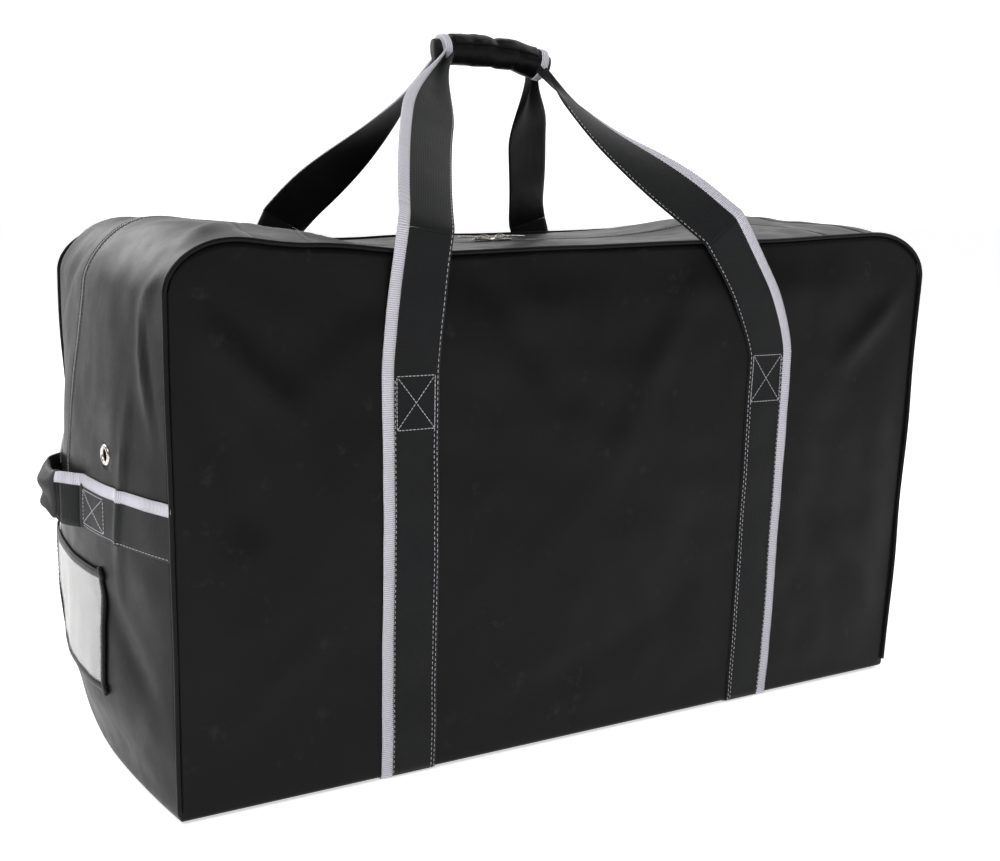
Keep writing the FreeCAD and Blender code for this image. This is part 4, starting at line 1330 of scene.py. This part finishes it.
class BAG_OT_grip(bpy.types.Operator):
    """Build the wrapped grip: sleeve, its closing flap, end bindings and the webbing inside"""
    bl_idname = "bag.grip"
    bl_label = "Grip"

    def execute(self, context):
        shares = steps(0, 1, 1 / 60)
        centres = [grip_line(share) for share in shares]
        upward = Vector((0, 0, 1))
        sleeve = tube("grip_sleeve_cover", centres, grip_radius(), sides=40, squeeze=0.94,
                      first_across=upward)
        settle(paint(sleeve, coated_vinyl()), "vinyl", ("grip_sleeve",), "carry_handle")
        inside = [grip_line(share) for share in steps(-0.06, 1.06, 0.07)]
        bundle = tube("grip_webbing_bundle", inside, 13 * MM, sides=18, squeeze=0.7, first_across=upward)
        settle(paint(bundle, polyester_webbing()), "webbing", ("strap_bundle",), "carry_handle")
        bands = []
        for end in (0.0, 1.0):
            inner = abs(end - 0.062)
            stretch = [grip_line(share) for share in steps(end + (0.008 if end else -0.008), inner, 0.01)]
            near = grip_radius(0.9 * MM)

            def rim(share, angle, end=end, near=near):
                ridge = 0.1 * MM * math.sin(angle * 42)
                taper = -1.4 * MM * (math.exp(-share / 0.08) + math.exp(-(1 - share) / 0.08))
                return near(end, angle) + ridge + taper

            bands.append(paint(tube("band", stretch, rim, sides=168, squeeze=0.94, first_across=upward),
                               grosgrain()))
        settle(join("grip_end_bands", bands), "white_tape", ("grip_end_bindings",), "carry_handle")

        rows, cloth = [], []
        sweep = math.radians(72)
        frames = frames_on(centres, upward)
        first, last = 6, len(centres) - 7
        for number in range(first, last + 1):
            centre, across, outward = frames[number]
            outer, flat = [], []
            angles = steps(-sweep, sweep, sweep / 9)
            for layer, order in ((1.1 * MM, angles), (0.2 * MM, list(reversed(angles)))):
                for angle in order:
                    reach = grip_radius(layer)(shares[number], angle)
                    outer.append(centre + across * reach * math.cos(angle)
                                 + outward * reach * 0.94 * math.sin(angle))
                    flat.append((reach * angle, number * 2 * MM))
            rows.append(outer)
            cloth.append(flat)
        flap = grid("grip_flap_cover", rows, cloth, closed=True, caps=True)
        settle(paint(flap, coated_vinyl()), "vinyl", ("grip_flap",), "grip_closure")
        return {"FINISHED"}


# ---------------------------------------------------------------- end handles
ROOT_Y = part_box("right_end_handle_roots")[1][1]
HANDLE_X, HANDLE_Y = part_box("right_end_handle")[1][:2]
WRAP_LOW, WRAP_HIGH = box_of("right_end_handle_wrap")
END_HALF = (END_STRAP_HIGH.z - END_STRAP_LOW.z) / 2


def end_place(side):
    """Places on the end webbing: stations run across the bag, across is up, and the middle stands off as a
    loop."""
    def place(station, across, lift):
        gather = 1 - smooth(abs(station), 0.35 * HANDLE_Y, 1.15 * HANDLE_Y)
        z = END_STRAP_Z + across * (1 - 0.36 * gather) + 4 * MM * gather
        lift += 2.5 * MM * gather * math.sin(across / END_HALF * 4.0)
        point, normal = gusset_point(run_at_height(side, z), station / half_depth(z), lift + 0.3 * MM)
        near = abs(station) / (ROOT_Y + 2 * MM)
        if near < 1:
            crown = HANDLE_X - 7 * MM - HALF_LENGTH - bulge(z)
            point.x += side * crown * (1 - near ** 2) ** 0.85
        return point
    return place


def wrap_piece(side, place):
    """The ribbed wrap round the middle of an end handle."""
    rows, cloth = [], []
    half_height = (WRAP_HIGH.z - WRAP_LOW.z) / 2 + 1 * MM
    count = 56
    stations = steps(-WRAP_HIGH.y, WRAP_HIGH.y, 1.25 * MM)
    for number, station in enumerate(stations):
        end = min(number, len(stations) - 1 - number)
        shrink = 1 if end > 1 else 0.88 + 0.06 * end
        rib = 0.45 * MM if number % 2 else 0.0
        row, flat = [], []
        for i in range(count):
            angle = 2 * math.pi * i / count
            up = math.copysign(abs(math.cos(angle)) ** 0.7, math.cos(angle)) * half_height
            out = math.copysign(abs(math.sin(angle)) ** 0.8, math.sin(angle)) * 5.5 * MM
            row.append(place(station, up * shrink, -0.5 * MM + (out + math.copysign(rib, out)) * shrink))
            flat.append((angle * half_height / 1.6, station))
        rows.append(row)
        cloth.append(flat)
    return grid(SIDE[side] + "_handle_wrap_sleeve", rows, cloth, closed=True, caps=True)


class BAG_OT_end_handles(bpy.types.Operator):
    """Build the webbing across each end, its loop handle, wrap, tape and box stitches"""
    bl_idname = "bag.end_handles"
    bl_label = "End handles"

    def execute(self, context):
        webbing, fine = trim().webbing, trim().rib / 2
        for side in (LEFT, RIGHT):
            place = end_place(side)
            name = SIDE[side]
            handle = name + "_handle"
            spans = [(-END_STRAP_REACH, -ROOT_Y, "front_strap", "bag"),
                     (ROOT_Y, END_STRAP_REACH, "back_strap", "bag"),
                     (-ROOT_Y, -HANDLE_Y, "front_root", None), (HANDLE_Y, ROOT_Y, "back_root", None),
                     (-HANDLE_Y, HANDLE_Y, "loop", handle)]
            nodes = {"front_strap": (name + "_end_strap",), "back_strap": (name + "_end_strap",),
                     "front_root": (name + "_end_handle_roots",), "back_root": (name + "_end_handle_roots",),
                     "loop": (name + "_end_handle",)}
            for low, high, part, body in spans:
                strip = ribbon(f"{name}_end_{part}_webbing", steps(low, high, 3 * MM), place, -END_HALF,
                               END_HALF,
                               0.1 * MM, webbing, columns=9)
                paint(strip, polyester_webbing())
                tape = ribbon(f"{name}_end_{part}_tape", steps(low, high, fine), place,
                              END_HALF - trim().tape,
                              END_HALF + 0.7 * MM, 0.2 * MM, webbing + 0.5 * MM, columns=4, wave=0.35 * MM,
                              rib=0.25 * MM)
                paint(tape, grosgrain())
                tape_node = name + ("_handle_edge_tape" if part == "loop" else "_end_edge_tape")
                for piece, slot, hidden in ((strip, "webbing", nodes[part]),
                                            (tape, "white_tape", (tape_node,))):
                    settle(piece, slot, hidden, body)
                    if body is None:
                        outer, inner = (low, high) if low < 0 else (high, low)
                        middle_x = place(outer, 0, 0).x
                        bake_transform(piece)
            settle(paint(wrap_piece(side, place), ribbed_rubber()), "grey_wrap",
                   (name + "_end_handle_wrap",), handle)
            rows = []
            for face in (FRONT, BACK):
                across = steps(face * (ROOT_Y + 4 * MM), face * (END_STRAP_REACH - 2 * MM), 5 * MM)
                rows.append(stitch_row("row", across, place, -END_HALF + 2.5 * MM, webbing + 0.2 * MM))
                rows += end_box(place, face)
            settle(paint(join(name + "_end_stitching", rows), polyester_thread()), "thread", (), "bag")
        return {"FINISHED"}


END_STRAP_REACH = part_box("left_end_strap")[1][1] + 2 * MM
END_BOX_NEAR, END_BOX_FAR = 64 * MM, 118 * MM


def end_box(place, face):
    """The box and cross that sews an end handle's root down."""
    low, high = -END_HALF + 5 * MM, END_HALF - trim().tape - 3 * MM
    near, far = face * END_BOX_NEAR, face * END_BOX_FAR
    return crossed_box(((near, low), (far, low), (far, high), (near, high)), place)


# ---------------------------------------------------------------- name card window and eyelets
BINDING = 8 * MM


def window_place(station, across, lift):
    """Places on the card window: stations are heights, across runs along the end."""
    return gusset_point(run_at_height(LEFT, station), across / half_depth(station), lift + 0.3 * MM)[0]


class BAG_OT_card_window(bpy.types.Operator):
    """Build the name card, its clear window and the bound frame"""
    bl_idname = "bag.card_window"
    bl_label = "Name card window"

    def execute(self, context):
        low, high, half = WINDOW_LOW.z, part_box("card_window_top_binding")[1][2], WINDOW_HIGH.y
        heights = steps(low + 0.5 * BINDING, high - 0.5 * BINDING, 6 * MM)
        card = ribbon("name_card_sheet", heights, window_place, -half + BINDING, half - BINDING, 0.3 * MM,
                      0.7 * MM,
                      columns=31)
        settle(paint(card, bristol_card()), "card", ("name_card",), "card")

        def film_place(station, across, lift):
            ripple = wobble(Vector((station * 22, across * 22, 0)), 1.2 * MM, 6.0)
            return window_place(station, across, lift + ripple)

        film = ribbon("card_window_film", heights, film_place, -half + 0.5 * BINDING, half - 0.5 * BINDING,
                      1.7 * MM,
                      0.4 * MM, columns=41)
        settle(paint(film, clear_film()), "clear_vinyl", ("card_window",), "bag")
        over = 3 * MM

        def upright(station, across, lift):
            return window_place(across, station, lift)

        strips = []
        for sign in (-1, 1):
            edges = sorted((sign * half, sign * (half - BINDING)))
            strips.append(ribbon("side", steps(low - over, high + over, 5 * MM), window_place, *edges,
                                 0.2 * MM,
                                 2.8 * MM, columns=5))
        strips.append(ribbon("foot", steps(-half - over, half + over, 5 * MM), upright, low, low + BINDING,
                             0.3 * MM,
                             3.0 * MM, columns=5))
        for strip in strips:
            paint(strip, coated_vinyl())
        settle(join("card_window_frame", strips), "vinyl", ("card_window_binding",), "bag")
        head = ribbon("card_window_head", steps(-half - over, half + over, 5 * MM), upright, high - BINDING,
                      high,
                      0.3 * MM, 3.0 * MM, columns=5)
        settle(paint(head, coated_vinyl()), "vinyl", ("card_window_top_binding",), "bag")
        inset = 3 * MM
        rows = []
        for height in (low + inset, high - inset):
            rows.append(stitch_row("row", steps(-half + inset, half - inset, 6 * MM), upright, height,
                                   3.1 * MM,
                                   radius=0.35 * MM))
        for sign in (-1, 1):
            rows.append(stitch_row("row", steps(low + inset, high - inset, 6 * MM), window_place,
                                   sign * (half - inset), 3.1 * MM, radius=0.35 * MM))
        settle(paint(join("card_window_stitching", rows), dark_thread()), "thread", (), "bag")
        return {"FINISHED"}


class BAG_OT_eyelets(bpy.types.Operator):
    """Build the two vent eyelets, rolled rings with a barrel through the skin"""
    bl_idname = "bag.eyelets"
    bl_label = "Eyelets"

    def execute(self, context):
        # radius and height of the rolled ring, from the flange's outer edge in and down the barrel
        profile = ((9.6, -0.6), (10.0, 0.2), (9.4, 0.9), (8.2, 1.5), (7.0, 1.5), (6.2, 1.0), (5.8, 0.0),
                   (5.7, -3.0),
                   (6.4, -3.0), (6.6, -1.6), (9.2, -1.6))
        rings = []
        for side, face in GROMMETS:
            depth = face * EYELET_Y / half_depth(EYELET_Z)
            centre, normal = gusset_point(run_at_height(side, EYELET_Z), depth, 0.2 * MM)
            normal = (normal + Vector((0, -0.2 * normal.y, 0))).normalized()
            across = Vector((0, 0, 1)).cross(normal).normalized()
            upward = normal.cross(across)
            rows = []
            for radius, height in profile + profile[:1]:
                rows.append([centre + (across * math.cos(turn) + upward * math.sin(turn)) * radius * MM
                             + normal * height * MM for turn in (2 * math.pi * i / 48 for i in range(48))])
            rings.append(paint(grid("ring", rows, closed=True), nickel_plate()))
        settle(join("vent_eyelets", rings), "nickel", ("grommets", "grommet_washers"), "bag")
        return {"FINISHED"}


# ---------------------------------------------------------------- stage
def area_light(name, place, aim, width, energy):
    data = bpy.data.lights.new(name, "AREA")
    data.shape = "SQUARE"
    data.size = width
    data.energy = energy
    lamp = bpy.data.objects.new(name, data)
    lamp.location = place
    lamp.rotation_euler = (Vector(aim) - Vector(place)).to_track_quat("-Z", "Y").to_euler()
    bpy.context.scene.collection.objects.link(lamp)
    return lamp


class BAG_OT_stage(bpy.types.Operator):
    """Set the floor, the soft light and the camera"""
    bl_idname = "bag.stage"
    bl_label = "Stage"

    def execute(self, context):
        scene = context.scene
        reach = 40.0
        floor = make_object("floor", [Vector((x, y, 0)) for x, y in ((-reach, -reach), (reach, -reach),
                                                                     (reach, reach), (-reach, reach))],
                            [(0, 1, 2, 3)])
        paint(floor, painted_board())
        floor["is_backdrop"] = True
        world = bpy.data.worlds.new("studio")
        scene.world = world
        world.use_nodes = True
        tree = world.node_tree
        tree.nodes.clear()
        ray = put(tree, "TexCoord").outputs["Generated"]
        toward = put(tree, "VectorMath", {0: ray, 1: (0.3, 0.95, 0.1)},
                     operation="DOT_PRODUCT").outputs["Value"]
        behind = put(tree, "MapRange", {0: toward, 1: 0.3, 2: 0.68})
        white = linear("fdfdfd")
        tone = put(tree, "Mix", {0: behind, 6: linear("2e2e30"), 7: white}, data_type="RGBA")
        seen = put(tree, "LightPath").outputs["Is Camera Ray"]
        tone = put(tree, "Mix", {0: seen, 6: tone, 7: white}, data_type="RGBA")
        put(tree, "OutputWorld", {"Surface": put(tree, "Background", {"Color": tone, "Strength": 1.4})})
        area_light("key", (-2.2, -1.9, 3.4), (0, 0, 0.3), 2.6, 98)
        area_light("rim", (-1.4, 2.6, 2.6), (0, 0, 0.4), 2.6, 85)
        area_light("fill", (2.8, -0.6, 2.6), (0, 0, 0.3), 2.4, 40)

        yaw, pitch, roll = 0.5233, 0.1693, 0.0112
        forward = Vector((math.sin(yaw) * math.cos(pitch), math.cos(yaw) * math.cos(pitch), -math.sin(pitch)))
        level = Vector((math.cos(yaw), -math.sin(yaw), 0))
        rise = level.cross(forward)
        right = level * math.cos(roll) + rise * math.sin(roll)
        upward = rise * math.cos(roll) - level * math.sin(roll)
        data = bpy.data.cameras.new("camera")
        data.sensor_width = 36
        data.lens = 46.74
        camera = bpy.data.objects.new("camera", data)
        turn = Matrix((right, upward, -forward)).transposed()
        camera.matrix_world = Matrix.Translation((-0.7363, -1.2992, 0.5445)) @ turn.to_4x4()
        scene.collection.objects.link(camera)
        scene.camera = camera
        scene.view_settings.view_transform = "Standard"
        return {"FINISHED"}


OPERATORS = (BAG_OT_gusset, BAG_OT_faces, BAG_OT_piping, BAG_OT_zip, BAG_OT_sliders, BAG_OT_carry_straps,
             BAG_OT_legs, BAG_OT_grip, BAG_OT_end_handles, BAG_OT_card_window, BAG_OT_eyelets, BAG_OT_stage)
SETTINGS = {"bag_shape": BagShape, "bag_trim": BagTrim, "bag_colours": BagColours}


class BAG_PT_panel(bpy.types.Panel):
    """Every step of the bag, in the order they are run"""
    bl_idname = "BAG_PT_panel"
    bl_label = "Hockey Equipment Bag"
    bl_space_type = "VIEW_3D"
    bl_region_type = "UI"
    bl_category = "Hockey Bag"

    def draw(self, context):
        for operator in OPERATORS:
            self.layout.operator(operator.bl_idname)
        for group_name in SETTINGS:
            group = getattr(context.scene, group_name)
            for name in group.__annotations__:
                self.layout.prop(group, name)


def register():
    for group_name, group in SETTINGS.items():
        bpy.utils.register_class(group)
        setattr(bpy.types.Scene, group_name, PointerProperty(type=group))
    for cls in OPERATORS + (BAG_PT_panel,):
        bpy.utils.register_class(cls)


def unregister():
    for cls in reversed(OPERATORS + (BAG_PT_panel,)):
        bpy.utils.unregister_class(cls)
    for group_name, group in SETTINGS.items():
        delattr(bpy.types.Scene, group_name)
        bpy.utils.unregister_class(group)


def main():
    register()
    for operator in OPERATORS:
        name = operator.bl_idname.split(".")[1]
        getattr(bpy.ops.bag, name)()
    boxes = {"cad_box": CAD_BOX, "visual_box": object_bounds()}
    {name: [list(corner) for corner in box] for name, box in boxes.items()}


if __name__ == "__main__":
    main()
